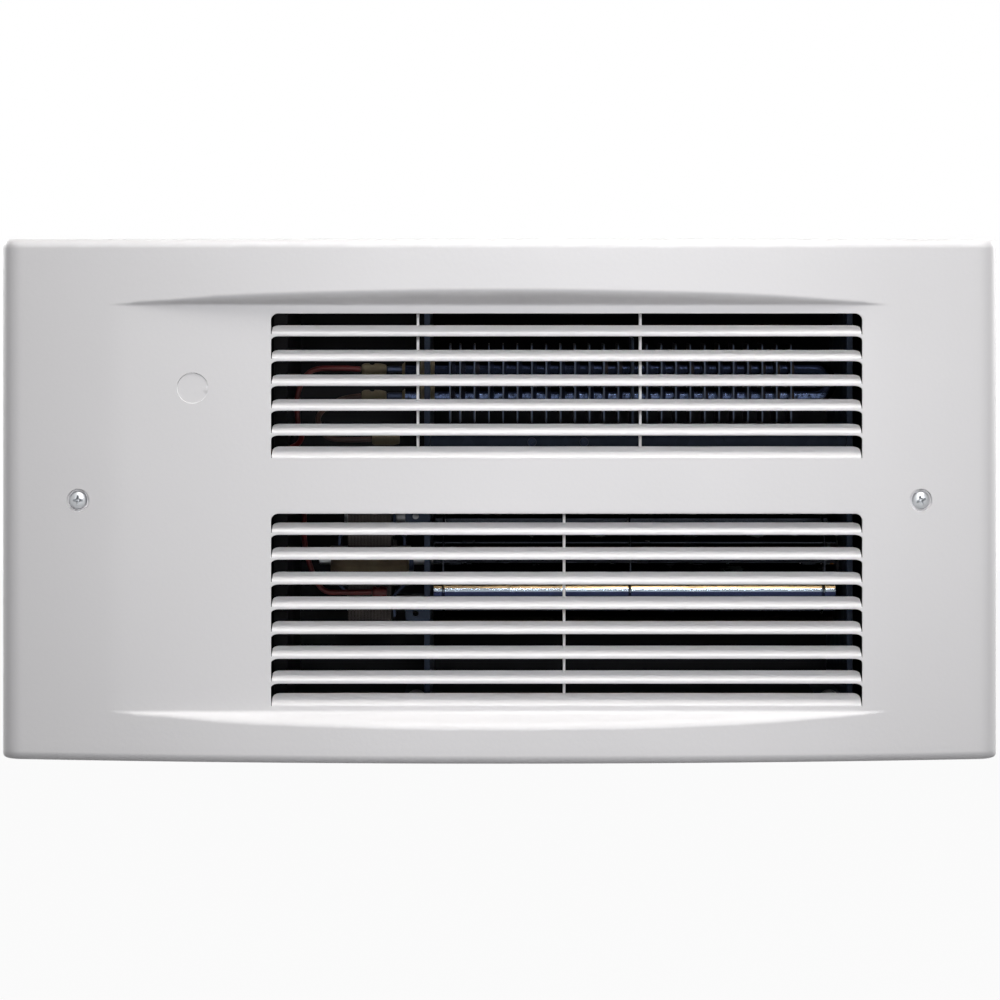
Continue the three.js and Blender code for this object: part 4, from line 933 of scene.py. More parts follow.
def copy_of(node: str) -> Piece:
    """A merged copy of a CAD node's mesh, without the edges that cross its flat faces."""
    piece = placed(f"{node}_piece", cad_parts[node].data.copy())
    work = bmesh.new()
    work.from_mesh(piece.data)
    bmesh.ops.remove_doubles(work, verts=work.verts, dist=1e-6)
    bmesh.ops.dissolve_limit(work, angle_limit=math.radians(0.5), verts=work.verts, edges=work.edges)
    work.to_mesh(piece.data)
    work.free()
    return piece


# ---- front cover
@dataclass
class LouvreBank:
    """One bank of louvres on the flat panel."""

    top: float
    first_height: float
    count: int


@dataclass
class FrontCover:
    """The bowed cover: one sheet with a pressed panel, screw dimples, a blank and louvres."""

    shop: Workshop
    sheet: float = 1.0
    side_wall: float = 2.5
    side_radius: float = 12.0
    edge_radius: float = 4.5
    corner_radius: float = 2.0
    recess_depth: float = 8.1
    recess_top: float = 93.1
    recess_bottom: float = -100.3
    draft: float = 33.0
    step_softness: float = 3.6
    crease: float = 0.5
    opening_left: float = -108.3
    opening_right: float = 171.9
    pitch: float = 11.75
    strip_flat: float = 1.0
    bend_radius: float = 0.4
    flap_length: float = 8.6
    flap_angle: float = 70.0
    last_flap_angle: float = 62.0
    corner: float = 3.3
    flare: Point = (3.6, 1.9)
    slit: float = 0.35
    edge_round: float = 0.3
    screw_x: float = 200.0
    dimple_radius: float = 5.0
    dimple_depth: float = 1.5
    dimple_wall: float = 0.45
    screw_hole: float = 2.4
    recess_side: float = 182.0
    blank: Point = (-145.5, 53.3)
    blank_radius: float = 7.3
    blank_depth: float = 0.45
    blank_shear: float = 0.07
    tab_angles: Point = (-14.0, -2.0)
    tab_blend: Point = (4.0, 2.0)
    window: Point = (8.0, 10.0)
    window_cells: int = 16
    wall_rows: tuple = (1.2, 10.4, 29)
    widest_cell: Point = (6.0, 8.0)
    tip_edge: float = 0.3
    dimple_rings: tuple = (6.4, 5.7, 5.45, 5.3, 5.15, 5.0, 4.7, 3.6)
    blank_rings: tuple = (8.4, 7.6, 7.37, 7.32, 7.28, 7.23, 7.0, 6.2, 5.2, 3.4, 1.6, 0.0)
    banks: tuple = (LouvreBank(88.6, 10.8, 6), LouvreBank(-6.3, 10.0, 8))

    def __post_init__(self) -> None:
        """Works out the bow from the CAD node's box."""
        box = NodeBox.of("front_cover")
        self.half_width = box.high[0]
        self.half_height = box.high[2]
        self.depth = -box.low[1]
        self.bow_half = self.half_width - self.side_radius
        rise = self.depth - self.side_wall - self.side_radius
        self.bow_radius = (self.bow_half ** 2 + rise ** 2) / (2 * rise)
        self.panel_y = self.recess_depth - self.depth

    def bow(self, x: float) -> float:
        """How far the bow stands off the wall at x."""
        return self.depth - self.bow_radius + math.sqrt(self.bow_radius ** 2 - x * x)

    def stand_off(self, x: float, z: float) -> float:
        """How far the sheet's face stands off the wall, with its recess, dimples and blank."""
        bow = self.bow(x)
        panel = self.depth - self.recess_depth
        beyond = max(z - self.recess_top, self.recess_bottom - z)
        rise = (beyond + math.sqrt(beyond * beyond + self.crease ** 2)) / 2
        ramp = rise / math.tan(math.radians(self.draft))
        soft = min(max(0.8 * (bow - panel), 0.5), self.step_softness)
        level = soft_min(bow, panel + ramp if beyond > -4 else panel, soft)
        level -= self._dimple(x, z)
        return level - self._blank_step(x, z)

    def _dimple(self, x: float, z: float) -> float:
        """Depth of the screw dimple here."""
        radius = math.hypot(abs(x) - self.screw_x, z)
        return self.dimple_depth * smooth(self.dimple_radius + self.dimple_wall, self.dimple_radius, radius)

    def _blank_step(self, x: float, z: float) -> float:
        """Depth of the half-sheared blank here, which its tab holds at the right."""
        across, up = x - self.blank[0], z - self.blank[1]
        radius = math.hypot(across, up)
        (start, stop), (turn, out), shear = self.tab_angles, self.tab_blend, self.blank_shear
        step = smooth(self.blank_radius + shear, self.blank_radius - shear, radius)
        angle = math.degrees(math.atan2(up, across))
        tab = smooth(start - turn, start, angle) * smooth(stop + turn, stop, angle)
        held = tab * smooth(self.blank_radius - out, self.blank_radius, radius)
        return self.blank_depth * step * (1 - held)

    def build(self) -> None:
        """Makes the cover and its combs."""
        cover = self._pressing()
        cover = combined(cover, self._cutters(), Change.CUT)
        cover = combined(cover, self._flaps(), Change.JOIN)
        cover.name = "front_cover_sheet"
        self.shop.hand_over(cover, Finish.ENAMEL, ["front_cover"], angle=38.0)
        for comb in ("upper_louvre_comb_left", "upper_louvre_comb_right", "lower_louvre_comb"):
            self.shop.refine(comb, Finish.ENAMEL, 0.12)

    def _columns(self) -> list[float]:
        """Places across the bow where the sheet has vertices."""
        marks = [-self.bow_half, self.bow_half]
        near, far = self.window
        for side in (-1, 1):
            screw, edge = side * self.screw_x, side * self.recess_side
            marks += spread(screw - near, screw + near, self.window_cells) + spread(edge - 9, edge + 9, 9)
        marks += spread(self.blank[0] - far, self.blank[0] + far, self.window_cells)
        return filled(marks, self.widest_cell[0])

    def _rows(self) -> list[float]:
        """Heights where the sheet has vertices, apart from its rounded edges."""
        limit, (near, far), cells = self.half_height - self.edge_radius, self.window, self.window_cells
        inside, beyond, rows = self.wall_rows
        marks = [-limit, limit] + spread(-near, near, cells)
        marks += spread(self.blank[1] - far, self.blank[1] + far, cells)
        marks += spread(self.recess_top - inside, self.recess_top + beyond, rows)
        marks += spread(self.recess_bottom - beyond, self.recess_bottom + inside, rows)
        return filled(marks, self.widest_cell[1])

    def _ring(self, z: float, columns: Sequence[float]) -> list[Place]:
        """One level section of the sheet's face, from wall to wall."""
        from_edge = self.half_height - abs(z)
        front = inset(from_edge, self.edge_radius)
        side = inset(from_edge, self.corner_radius)
        radius_x = self.side_radius - side
        radius_y = self.side_radius - front
        turns = [math.radians(9 * i) for i in range(10)]
        left = [(-self.bow_half - radius_x * math.cos(a), -self.side_wall - radius_y * math.sin(a))
                for a in turns]
        bow = [(x, front - self.stand_off(x, z)) for x in columns]
        right = [(-x, y) for x, y in reversed(left)]
        ends = (-self.half_width + side, 0.0), (self.half_width - side, 0.0)
        return [(x, y, z) for x, y in [ends[0], *left, *bow, *right, ends[1]]]

    def _pressing(self) -> Piece:
        """The bowed sheet, before its louvres are lanced."""
        columns, rows = self._columns(), self._rows()
        rounding = [self.half_height - self.edge_radius * (1 - math.sin(math.radians(11.25 * i)))
                    for i in range(1, 9)]
        levels = [-z for z in reversed(rounding)] + rows + rounding
        skin = Skin()
        rings = [skin.add(self._ring(z, columns)) for z in levels]
        first_bow = 11
        patches = [Patch((x, 0.0), self.window[0], (*self.dimple_rings, self.screw_hole))
                   for x in (-self.screw_x, self.screw_x)]
        patches.append(Patch(self.blank, self.window[1], self.blank_rings))
        spans = [patch.cells(columns, levels, first_bow) for patch in patches]
        for j in range(len(rings) - 1):
            for i in range(len(rings[j]) - 1):
                if not any(a <= i < b and c <= j < d for a, b, c, d in spans):
                    skin.faces.append((rings[j][i], rings[j][i + 1], rings[j + 1][i + 1], rings[j + 1][i]))
        for patch, span in zip(patches, spans):
            patch.fill(skin, rings, span, self.stand_off)
        self._close_end(skin, rings[-1], True)
        self._close_end(skin, rings[0], False)
        sheet = skin.piece("pressing", closed=False)
        wall = sheet.modifiers.new("sheet", "SOLIDIFY")
        wall.thickness = self.sheet * MM
        wall.offset = -1.0
        wall.use_even_offset = True
        wall.use_quality_normals = True
        return settle(sheet)

    @staticmethod
    def _close_end(skin: Skin, ring: Sequence[int], top: bool) -> None:
        """Folds the sheet back to the wall along the top or the bottom."""
        inner = ring[1:-1]
        back = [ring[0]]
        back += skin.add([(skin.points[i][0], 0.0, skin.points[i][2]) for i in inner[1:-1]])
        back.append(ring[-1])
        for i in range(len(inner) - 1):
            quad = (inner[i], inner[i + 1], back[i + 1], back[i])
            skin.faces.append(quad if top else quad[::-1])

    def _outline(self, top: float, fold: float, corner: Point) -> list[Point]:
        """An opening's outline in (x, z), anticlockwise from the fold's left end."""
        wide, high = corner
        spring = top - high
        right = [(self.opening_right - wide + wide * math.cos(math.radians(a)),
                  spring + high * math.sin(math.radians(a))) for a in range(0, 91, 10)]
        left = [(self.opening_left + self.opening_right - x, z) for x, z in reversed(right)]
        return [(self.opening_left, fold), (self.opening_right, fold), *right, *left]

    def _cutter(self, top: float, fold: float, corner: Point) -> Skin:
        """The tool for one opening, flared to round the sheared edge at the front."""
        outline = self._outline(top, fold, corner)
        r = self.edge_round
        turns = [math.radians(a) for a in (0, 22.5, 45, 67.5, 90)]
        levels = [(self.panel_y - 1.0, r)]
        levels += [(self.panel_y + r * (1 - math.cos(a)), r * (1 - math.sin(a))) for a in turns]
        levels.append((self.panel_y + self.sheet + 1.0, 0.0))
        return loft([[(x, y, z) for x, z in grown(outline, out)] for y, out in levels])

    def _fold_of(self, bank: LouvreBank, row: int) -> float:
        """Height of the fold under an opening."""
        return bank.top - bank.first_height - row * self.pitch + self.strip_flat

    def _cutters(self) -> Piece:
        """The tools for all the openings."""
        pieces = []
        for bank in self.banks:
            first = self._cutter(bank.top, self._fold_of(bank, 0), (self.corner, self.corner))
            pieces.append(first.piece("first_opening"))
            top = bank.top - bank.first_height
            others = self._cutter(top, self._fold_of(bank, 1), self.flare).piece("openings")
            pieces.append(self.shop.repeated(others, bank.count - 1, (0, 0, -self.pitch)))
        return fused(pieces)

    def _flap(self, fold: float, angle: float) -> Skin:
        """One flap, folded back along the lower edge of its opening, with round free corners."""
        lean = math.radians(angle)
        along = (math.sin(lean), math.cos(lean))
        centre_y = self.panel_y + self.sheet + self.bend_radius
        left, right = self.opening_left + self.slit, self.opening_right - self.slit
        turns = [math.radians(90 - 11.25 * i) for i in range(9)]
        near = [(self.corner * (1 - math.cos(a)), self.corner * (1 - math.sin(a))) for a in reversed(turns)]
        stations = [(left + into, short) for into, short in near]
        stations += [(right - into, short) for into, short in reversed(near)]
        rings = []
        for x, short in stations:
            length = self.flap_length - short / along[0]
            rings.append([(x, y, z) for y, z in self._section(fold, lean, along, centre_y, length)])
        return loft(rings)

    def _section(self, fold: float, lean: float, along: Point, centre_y: float, length: float
                 ) -> list[Point]:
        """A flap's section in (y, z): its root in the strip, the fold and the blade."""
        def bend(radius: float) -> list[Point]:
            """The fold's arc, from the strip to the blade."""
            return [(centre_y - radius * math.cos(a), fold + radius * math.sin(a))
                    for a in (lean * i / 7 for i in range(8))]

        outer, inner = bend(self.bend_radius + self.sheet), bend(self.bend_radius)
        way, out, edge = np.array(along), np.array((-along[1], along[0])), self.tip_edge
        tip, base = (np.array(side[-1]) + way * length for side in (outer, inner))
        ends = [tip - way * edge, tip - way * edge * 0.3 - out * edge * 0.3, tip - out * edge,
                base + out * edge, base - way * edge]
        root = fold - self.strip_flat / 2
        return [(self.panel_y, root), *outer, *map(tuple, ends), *reversed(inner),
                (self.panel_y + self.sheet, root)]

    def _flaps(self) -> Piece:
        """All the flaps."""
        pieces = []
        for bank in self.banks:
            even = self._flap(self._fold_of(bank, 0), self.flap_angle).piece("flaps")
            pieces.append(self.shop.repeated(even, bank.count - 1, (0, 0, -self.pitch)))
            last = self._flap(self._fold_of(bank, bank.count - 1), self.last_flap_angle)
            pieces.append(last.piece("last_flap"))
        return fused(pieces)


@dataclass
class Patch:
    """A round feature let into the sheet's grid: rings of vertices inside a square of cells."""

    centre: Point
    half: float
    radii: Sequence[float]

    def cells(self, columns: Sequence[float], levels: Sequence[float], first: int
              ) -> tuple[int, int, int, int]:
        """The grid's cells that the patch takes.

        Args:
            columns: places across the bow.
            levels: heights.
            first: number of the bow's first column in a ring.

        Returns:
            First and last column, first and last row.
        """
        def at(values: Sequence[float], target: float) -> int:
            """The number of the place nearest to the target."""
            return min(range(len(values)), key=lambda i: abs(values[i] - target))

        x, z = self.centre
        return (at(columns, x - self.half) + first, at(columns, x + self.half) + first,
                at(levels, z - self.half), at(levels, z + self.half))

    def fill(self, skin: Skin, rings: Sequence[Sequence[int]], span: tuple[int, int, int, int],
             stand_off: Callable[[float, float], float]) -> None:
        """Fills the square with rings that lie on the sheet's face."""
        a, b, c, d = span
        border = [rings[c][i] for i in range(a, b)] + [rings[j][b] for j in range(c, d)]
        border += [rings[d][i] for i in range(b, a, -1)] + [rings[j][a] for j in range(d, c, -1)]
        outer = border
        for radius in self.radii:
            if radius <= 0:
                x, z = self.centre
                middle = skin.add([(x, -stand_off(x, z), z)])[0]
                for i, here in enumerate(outer):
                    skin.faces.append((here, outer[(i + 1) % len(outer)], middle))
                return
            ring = []
            for number in border:
                x, _, z = skin.points[number]
                u, w = polar(radius, math.atan2(z - self.centre[1], x - self.centre[0]))
                x, z = self.centre[0] + u, self.centre[1] + w
                ring.append((x, -stand_off(x, z), z))
            inner = skin.add(ring)
            skin.strip(outer, inner)
            outer = inner


def soft_min(a: float, b: float, width: float) -> float:
    """The lower of two levels, rounded over where they cross."""
    share = max(width - abs(a - b), 0.0) / width
    return min(a, b) - share * share * width / 4


def smooth(start: float, stop: float, value: float) -> float:
    """0 at start, 1 at stop and smooth between them."""
    t = min(max((value - start) / (stop - start), 0.0), 1.0)
    return t * t * (3 - 2 * t)


def inset(from_edge: float, radius: float) -> float:
    """How far a rounded edge lies back, this far from the edge."""
    if from_edge >= radius:
        return 0.0
    return radius - math.sqrt(max(radius ** 2 - (radius - from_edge) ** 2, 0.0))


def spread(start: float, stop: float, cells: int) -> list[float]:
    """Even places from start to stop."""
    return [start + (stop - start) * i / cells for i in range(cells + 1)]


def filled(marks: Sequence[float], widest: float) -> list[float]:
    """Sorted places with more put in where two lie far apart."""
    placed = []
    for value in sorted(marks):
        if not placed or value - placed[-1] > 1e-6:
            placed.append(value)
    result = []
    for here, after in zip(placed, placed[1:]):
        result += spread(here, after, max(1, math.ceil((after - here) / widest)))[:-1]
    return result + [placed[-1]]


def fused(pieces: Sequence[Piece], name: str = "fused") -> Piece:
    """Several separate closed meshes as one object."""
    work = bmesh.new()
    for piece in pieces:
        work.from_mesh(piece.data)
        bpy.data.objects.remove(piece)
    mesh = bpy.data.meshes.new(name)
    work.to_mesh(mesh)
    work.free()
    return placed(name, mesh)


# ---- screws
@dataclass
class CrossScrew:
    """A pan head screw with a cross recess, its head towards -Y."""

    shop: Workshop
    radius: float = 4.3
    height: float = 2.4
    shank: float = 2.1
    thread_pitch: float = 1.4

    def build(self, node: str, turn: float) -> None:
        """Makes the screw that a CAD node places.

        Args:
            node: the CAD node.
            turn: of the recess, in degrees.
        """
        box = NodeBox.of(node)
        x, _, z = box.centre
        seat = box.low[1] + self.height
        r, h = self.radius, self.height
        dome = [(0.0, -h), (r * 0.4, -h * 0.985), (r * 0.66, -h * 0.87), (r * 0.86, -h * 0.64),
                (r * 0.965, -h * 0.38), (r, -h * 0.16), (r * 0.99, 0.0), (self.shank, 0.0)]
        dome += self._thread(box.high[1] - seat)
        screw = turned(dome, Axis.Y, (x, seat, z), 64).piece(f"{node}_piece")
        screw = combined(screw, self._cross((x, seat - h, z), turn), Change.CUT)
        self.shop.hand_over(screw, Finish.ZINC, [node])

    def _thread(self, length: float) -> list[Point]:
        """A shank with ridges for its thread, and a point."""
        profile = []
        along = 1.0
        while along < length - 3:
            profile += [(self.shank * 0.8, along), (self.shank, along + self.thread_pitch / 2)]
            along += self.thread_pitch
        return [*profile, (self.shank * 0.8, length - 3), (0.0, length)]

    def _cross(self, tip: Place, turn: float) -> Piece:
        """The tool for the cross recess: four tapered wings round a core."""
        wide, long, deep = self.radius * 0.13, self.radius * 0.56, self.height * 0.75
        core = self.radius * 0.24
        outline = []
        for quarter in range(4):
            a = math.radians(90 * quarter + turn)
            for out, side in ((core, -wide), (long, -wide * 0.9), (long, wide * 0.9), (core, wide)):
                outline.append(spun((out, side), a))
        depths = ((-1.0, 1.06), (0.0, 1.0), (deep * 0.6, 0.72), (deep, 0.3))
        rings = [[(tip[0] + u * scale, tip[1] + depth, tip[2] + v * scale) for u, v in outline]
                 for depth, scale in depths]
        return loft(rings).piece("cross")


def spun(point: Point, angle: float) -> Point:
    """A point turned about the origin, the angle in radians."""
    (u, v), c, s = point, math.cos(angle), math.sin(angle)
    return u * c - v * s, u * s + v * c


@dataclass
class SmallScrew:
    """A screw with a ridged shank and a slotted or hexagonal head."""

    shop: Workshop
    axis: Axis
    side: int
    head: Point
    shank: float
    hexagonal: bool = False
    finish: Finish = Finish.ZINC
    pitch: float = 0.9
    slot: Point = (0.9, 0.8)

    def build(self, node: str, turn: float) -> None:
        """Makes the screw that a CAD node places.

        Args:
            node: the CAD node.
            turn: of the slot, in degrees.
        """
        radius, height = self.head
        box, way = NodeBox.of(node), self.axis.value
        head, tail = (box.low[way], box.high[way])[::-self.side]
        seat = list(box.centre)
        seat[way] = head - self.side * height
        length = abs(tail - seat[way])
        dome = [(0.0, height), (radius * 0.55, height), (radius * 0.9, height * 0.7),
                (radius, height * 0.3), (radius, 0.0), (self.shank, 0.0)]
        if self.hexagonal:
            dome = [(0.0, height * 0.3), (radius, height * 0.3), (radius, 0.0), (self.shank, 0.0)]
        profile = dome + threaded(self.shank, 0.6, length - 1.5, self.pitch) + [(0.0, length)]
        profile = [(r, along * self.side if i < len(dome) else -along * self.side)
                   for i, (r, along) in enumerate(profile)]
        screw = turned(profile, self.axis, seat, 48).piece(f"{node}_piece")
        if self.hexagonal:
            ring = [polar(radius * 0.86, math.tau * i / 6) for i in range(6)]
            levels = ((0.05, 1.0), (height * 0.85, 1.0), (height, 0.88))
            hexagon = loft([[self._at(seat, up, u * k, v * k) for u, v in ring] for up, k in levels])
            combined(screw, hexagon.piece("tool"), Change.JOIN)
        (wide, deep), reach = self.slot, radius * 1.2
        corners = [(reach, wide / 2), (-reach, wide / 2), (-reach, -wide / 2), (reach, -wide / 2)]
        outline = [spun(corner, math.radians(turn)) for corner in corners]
        slot = loft([[self._at(seat, up, u, v) for u, v in outline] for up in (height - deep, height + 1)])
        combined(screw, slot.piece("tool"), Change.CUT)
        self.shop.hand_over(screw, self.finish, [node])

    def _at(self, seat: Place, up: float, first: float, second: float) -> Place:
        """A point above the seat."""
        place = self.axis.put(up * self.side, first, second)
        return tuple(s + p for s, p in zip(seat, place))


def threaded(radius: float, start: float, stop: float, pitch: float) -> list[Point]:
    """A thread's profile: ridges from start to stop."""
    count = max(1, int((stop - start) / pitch))
    profile = [(radius, start)]
    for i in range(count):
        along = start + (stop - start) * (i + 0.5) / count
        profile += [(radius * 0.82, along), (radius, start + (stop - start) * (i + 1) / count)]
    return profile


# ---- wall can
@dataclass
class WallCan:
    """The can in the wall, its cable clamp and its ground screw."""

    shop: Workshop
    knockout: float = 11.0
    groove: float = 0.5
    weld_radius: float = 2.2
    weld_depth: float = 0.18
    bore: float = 8.0
    thread: float = 10.6
    back_knockouts: tuple = ((-150.0, 14.0), (-112.0, 60.0))
    top_knockout: Point = (-145.0, 50.0)
    side: float = 181.0

    def build(self) -> None:
        """Makes the can and what is fixed in its back."""
        box = NodeBox.of("wall_can")
        can = bevelled(copy_of("wall_can"), 0.7, 60.0)
        half, back = -box.low[2], box.high[1]
        tools = [self._knockout((x, back, z), Axis.Y) for x, z in self.back_knockouts]
        tools.append(self._knockout((*self.top_knockout, half), Axis.Z))
        for end in (-half, half):
            row = end - math.copysign(6.0, end)
            tools += [self._seam(end, back), self._welds(Axis.Y, (-160.0, back, row), 9, (40, 0, 0))]
            tools += [self._welds(Axis.X, (x, 14.0, row), 4, (0, 22, 0)) for x in (-self.side, self.side)]
        for tool in tools:
            combined(can, tool, Change.CUT)
        can.name = "wall_can_shell"
        self.shop.hand_over(can, Finish.DARK, ["wall_can"])
        self._clamp()
        SmallScrew(self.shop, Axis.Y, -1, (4.4, 2.4), 2.0, True).build("ground_screw", 30.0)

    def _knockout(self, centre: Place, axis: Axis) -> Piece:
        """The groove round a knockout, as a tool."""
        r, g = self.knockout, self.groove
        profile = [(r - g, -g), (r, -g), (r, 1.0), (r - g, 1.0)]
        return turned(profile, axis, centre, 64).piece("knockout")

    def _seam(self, z: float, back: float) -> Piece:
        """The joint between an end panel and the wrapper, as a tool."""
        x, wide, deep = 179.9, 0.25, 0.4
        low, high = z - deep, z + deep
        cuts = [block((at - wide / 2, 1.5, low), (at + wide / 2, back - 1.2, high)).piece("seam")
                for at in (-x, x)]
        cuts.append(block((-x + 1, back - 1.1, low), (x - 1, back - 1.1 + wide, high)).piece("seam"))
        return fused(cuts)

    def _welds(self, axis: Axis, first: Place, count: int, step: Place) -> Piece:
        """A row of spot welds, as tools."""
        r, d = self.weld_radius, self.weld_depth
        profile = [(0.0, -d), (r * 0.6, -d), (r, -0.02), (r, 0.02), (r * 0.6, d), (0.0, d)]
        return self.shop.repeated(turned(profile, axis, first, 24).piece("weld"), count, step)

    def _clamp(self) -> None:
        """The cable clamp with its saddle, and the ring nut inside."""
        box, nut = NodeBox.of("cable_clamp"), NodeBox.of("cable_clamp_locknut")
        x, _, z = box.centre
        inner, tail = box.low[1], box.high[1]
        flange = tail - 14.0
        thread = threaded(self.thread, inner + 0.6, flange - 0.3, 1.3)
        outside = [(self.bore, inner), (self.thread - 0.8, inner), *thread, (self.thread, flange),
                   (13.0, flange), (13.4, flange + 0.4), (13.4, flange + 2.6), (13.0, flange + 3),
                   (self.thread, flange + 3.2), (self.thread, tail - 0.5), (self.thread - 0.5, tail),
                   (self.bore, tail)]
        body = turned(outside, Axis.Y, (x, 0.0, z), 64)
        saddle = block((x - 12.2, tail - 9.0, z + 3.0), (x + 12.2, tail - 3.0, z + 6.5))
        ears = block((x - 12.4, tail - 10.0, z - 3.0), (x + 12.4, tail - 2.0, z + 1.5))
        screws = [rod(Axis.Z, (x + side * 11.0, tail - 6.0, z), 1.3, -5.5, 9.0, 24) for side in (-1, 1)]
        bore = rod(Axis.Y, (x, 0.0, z), self.bore, inner - 1, tail + 1, 64)
        clamp = carved("cable_clamp_body", body, [saddle, ears, *screws], [bore])
        self.shop.hand_over(clamp, Finish.ZINC, ["cable_clamp"])
        ring = [(self.thread + 0.3, nut.low[1]), (13.4, nut.low[1]), (14.2, nut.low[1] + 0.6),
                (14.2, nut.high[1] - 0.6), (13.4, nut.high[1]), (self.thread + 0.3, nut.high[1])]
        lock = turned(ring, Axis.Y, (x, 0.0, z), 64).piece("cable_clamp_ring_nut")
        notch = block((-1.1, nut.low[1] - 1, 12.9), (1.1, nut.high[1] + 1, 15.5)).piece("notch")
        notches = self.shop.ring.apply(notch, Count=8, Turn=(0.0, math.tau / 8, 0.0),
                                       Centre=Vector((x, 0.0, z)) * MM)
        combined(lock, notches, Change.CUT)
        self.shop.hand_over(lock, Finish.ZINC, ["cable_clamp_locknut"])


# ---- chassis
@dataclass
class Chassis:
    """End plates, divider, baffle, rear scroll, high-limit switch and their screws."""

    shop: Workshop
    sheet: float = 1.2
    lip: float = 2.8
    chamfer: float = 30.0
    shaft: Point = (46.0, -34.5)
    shaft_hole: float = 9.0
    leg_heights: Point = (48.0, 61.0)
    leg_depth: float = 22.0
    bush_hole: float = 5.5
    motor_screws: Point = (-13.0, -56.0)
    screw_hole: float = 2.3
    scroll_radius: float = 35.0
    scroll_bend: float = 50.0
    foot: Point = (20.0, 85.0)
    foot_screws: Point = (30.0, 75.0)
    ears: Point = (24.8, -22.2)
    switch_hole: float = 1.8
    divider_slot: tuple = ((22.0, 10.0), (46.0, 30.0), 6.0)

    def build(self) -> None:
        """Makes the sheet pieces and the screws."""
        self._plate("left", -1, *self._ears())
        self._plate("right", 1)
        self._divider()
        self._scroll()
        self._baffle()
        self._limit_switch()
        screw = SmallScrew(self.shop, Axis.Z, 1, (3.6, 2.0), 2.0)
        for name, turn in (("left_front", 15.0), ("left_rear", 70.0), ("right_front", 130.0),
                           ("right_rear", 40.0)):
            screw.build(f"chassis_screw_{name}", turn)
        small = SmallScrew(self.shop, Axis.Y, -1, (2.2, 1.6), 1.5, finish=Finish.SHADED_ZINC, slot=(0.7, 0.6))
        for name, turn in (("left", 25.0), ("right", 110.0)):
            small.build(f"limit_screw_{name}", turn)

    def _ears(self) -> tuple[list[Skin], list[Skin]]:
        """The left plate's two ears, and the holes that only this plate has."""
        box = NodeBox.of("left_end_plate")
        face = box.high[0]
        ears, holes = [], []
        for z in (self.shaft[1] + up for up in self.ears):
            outline = rounded((face - 12.0, z - 5), (face - 0.6, z + 5), 3.8, 10)
            ears.append(prism(outline, Axis.Y, box.low[1], box.low[1] + self.sheet))
            holes.append(rod(Axis.Y, (face - 7.0, box.low[1], z), 1.5, -1, 3))
        places = [(self.leg_depth, z, self.bush_hole) for z in self.leg_heights]
        places += [(self.shaft[0], z, self.screw_hole) for z in self.motor_screws]
        holes += [rod(Axis.X, (face, y, z), radius, -3, 1) for y, z, radius in places]
        return ears, holes

    def _plate(self, hand: str, side: int, ears: Sequence[Skin] = (), holes: Sequence[Skin] = ()) -> None:
        """An end plate: its wall, its front lip and the foot that the chassis screws hold down.

        Args:
            hand: left or right.
            side: -1 for the left plate.
            ears: solids that only this plate has.
            holes: holes that only this plate has.
        """
        box = NodeBox.of(f"{hand}_end_plate")
        (left, front, floor), (_, back, top) = box.low, box.high
        face = box.high[0] - max(side, 0) * self.lip
        outline = [(front, floor), (back, floor), (back, top - self.chamfer), (back - self.chamfer, top),
                   (front, top)]
        wall = prism(outline, Axis.X, *sorted((face, face + side * self.sheet)))
        near, far = sorted((face, face + side * self.lip))
        lip = block((near, front, floor + self.sheet), (far, front + self.sheet, top))
        foot = block((left, self.foot[0], floor), (face + side * 0.1, self.foot[1], floor + self.sheet))
        hole = rod(Axis.X, (face, *self.shaft), self.shaft_hole, *sorted((3 * side, -side)), 64)
        x = (left + face + min(side, 0) * self.sheet) / 2
        screws = [rod(Axis.Z, (x, y, floor), self.screw_hole, -1, 3) for y in self.foot_screws]
        plate = carved(f"{hand}_chassis_plate", wall, [lip, foot, *ears], [*holes, hole, *screws], 0.35)
        self.shop.hand_over(plate, Finish.GALVANISED, [f"{hand}_end_plate"])

    def _divider(self) -> None:
        """The plate that closes off the wiring space."""
        box = NodeBox.of("wiring_divider")
        (left, front, low), (right, back, high) = box.low, box.high
        wall = block((right - self.sheet, front, low), (right, back, high))
        lip = block((left, front, low), (right, front + self.sheet, high))
        slot = prism(rounded(*self.divider_slot, 10), Axis.X, right - 3, right + 1)
        divider = carved("wiring_partition", wall, [lip], [slot], 0.4)
        self.shop.hand_over(divider, Finish.DARK, ["wiring_divider"])

    def _bent(self, name: str, node: str, line: Sequence[Point], bend: float) -> Piece:
        """A bent sheet as wide as its CAD node."""
        box = NodeBox.of(node)
        path = softened(line, bend, 6) if bend else line
        return bevelled(prism(thickened(path, 1.0), Axis.X, box.low[0], box.high[0]).piece(name), 0.15)

    def _scroll(self) -> None:
        """The rear scroll: round under and behind the wheel, then up and forward over the element."""
        box = NodeBox.of("rear_scroll")
        back, top = box.high[1], box.high[2]
        under = arc(self.shaft, self.scroll_radius, -122, -36, 32)
        rise = [(back - 4.0, self.shaft[1] + 4.5), (back - 0.5, self.shaft[1] + 34.5)]
        over = arc((back - self.scroll_bend, top - self.scroll_bend), self.scroll_bend, 0, 90, 32)
        line = [*under, *rise, *over, (box.low[1], top)]
        self.shop.hand_over(self._bent("rear_air_scroll", "rear_scroll", line, 0.0), Finish.DARK,
                            ["rear_scroll"])

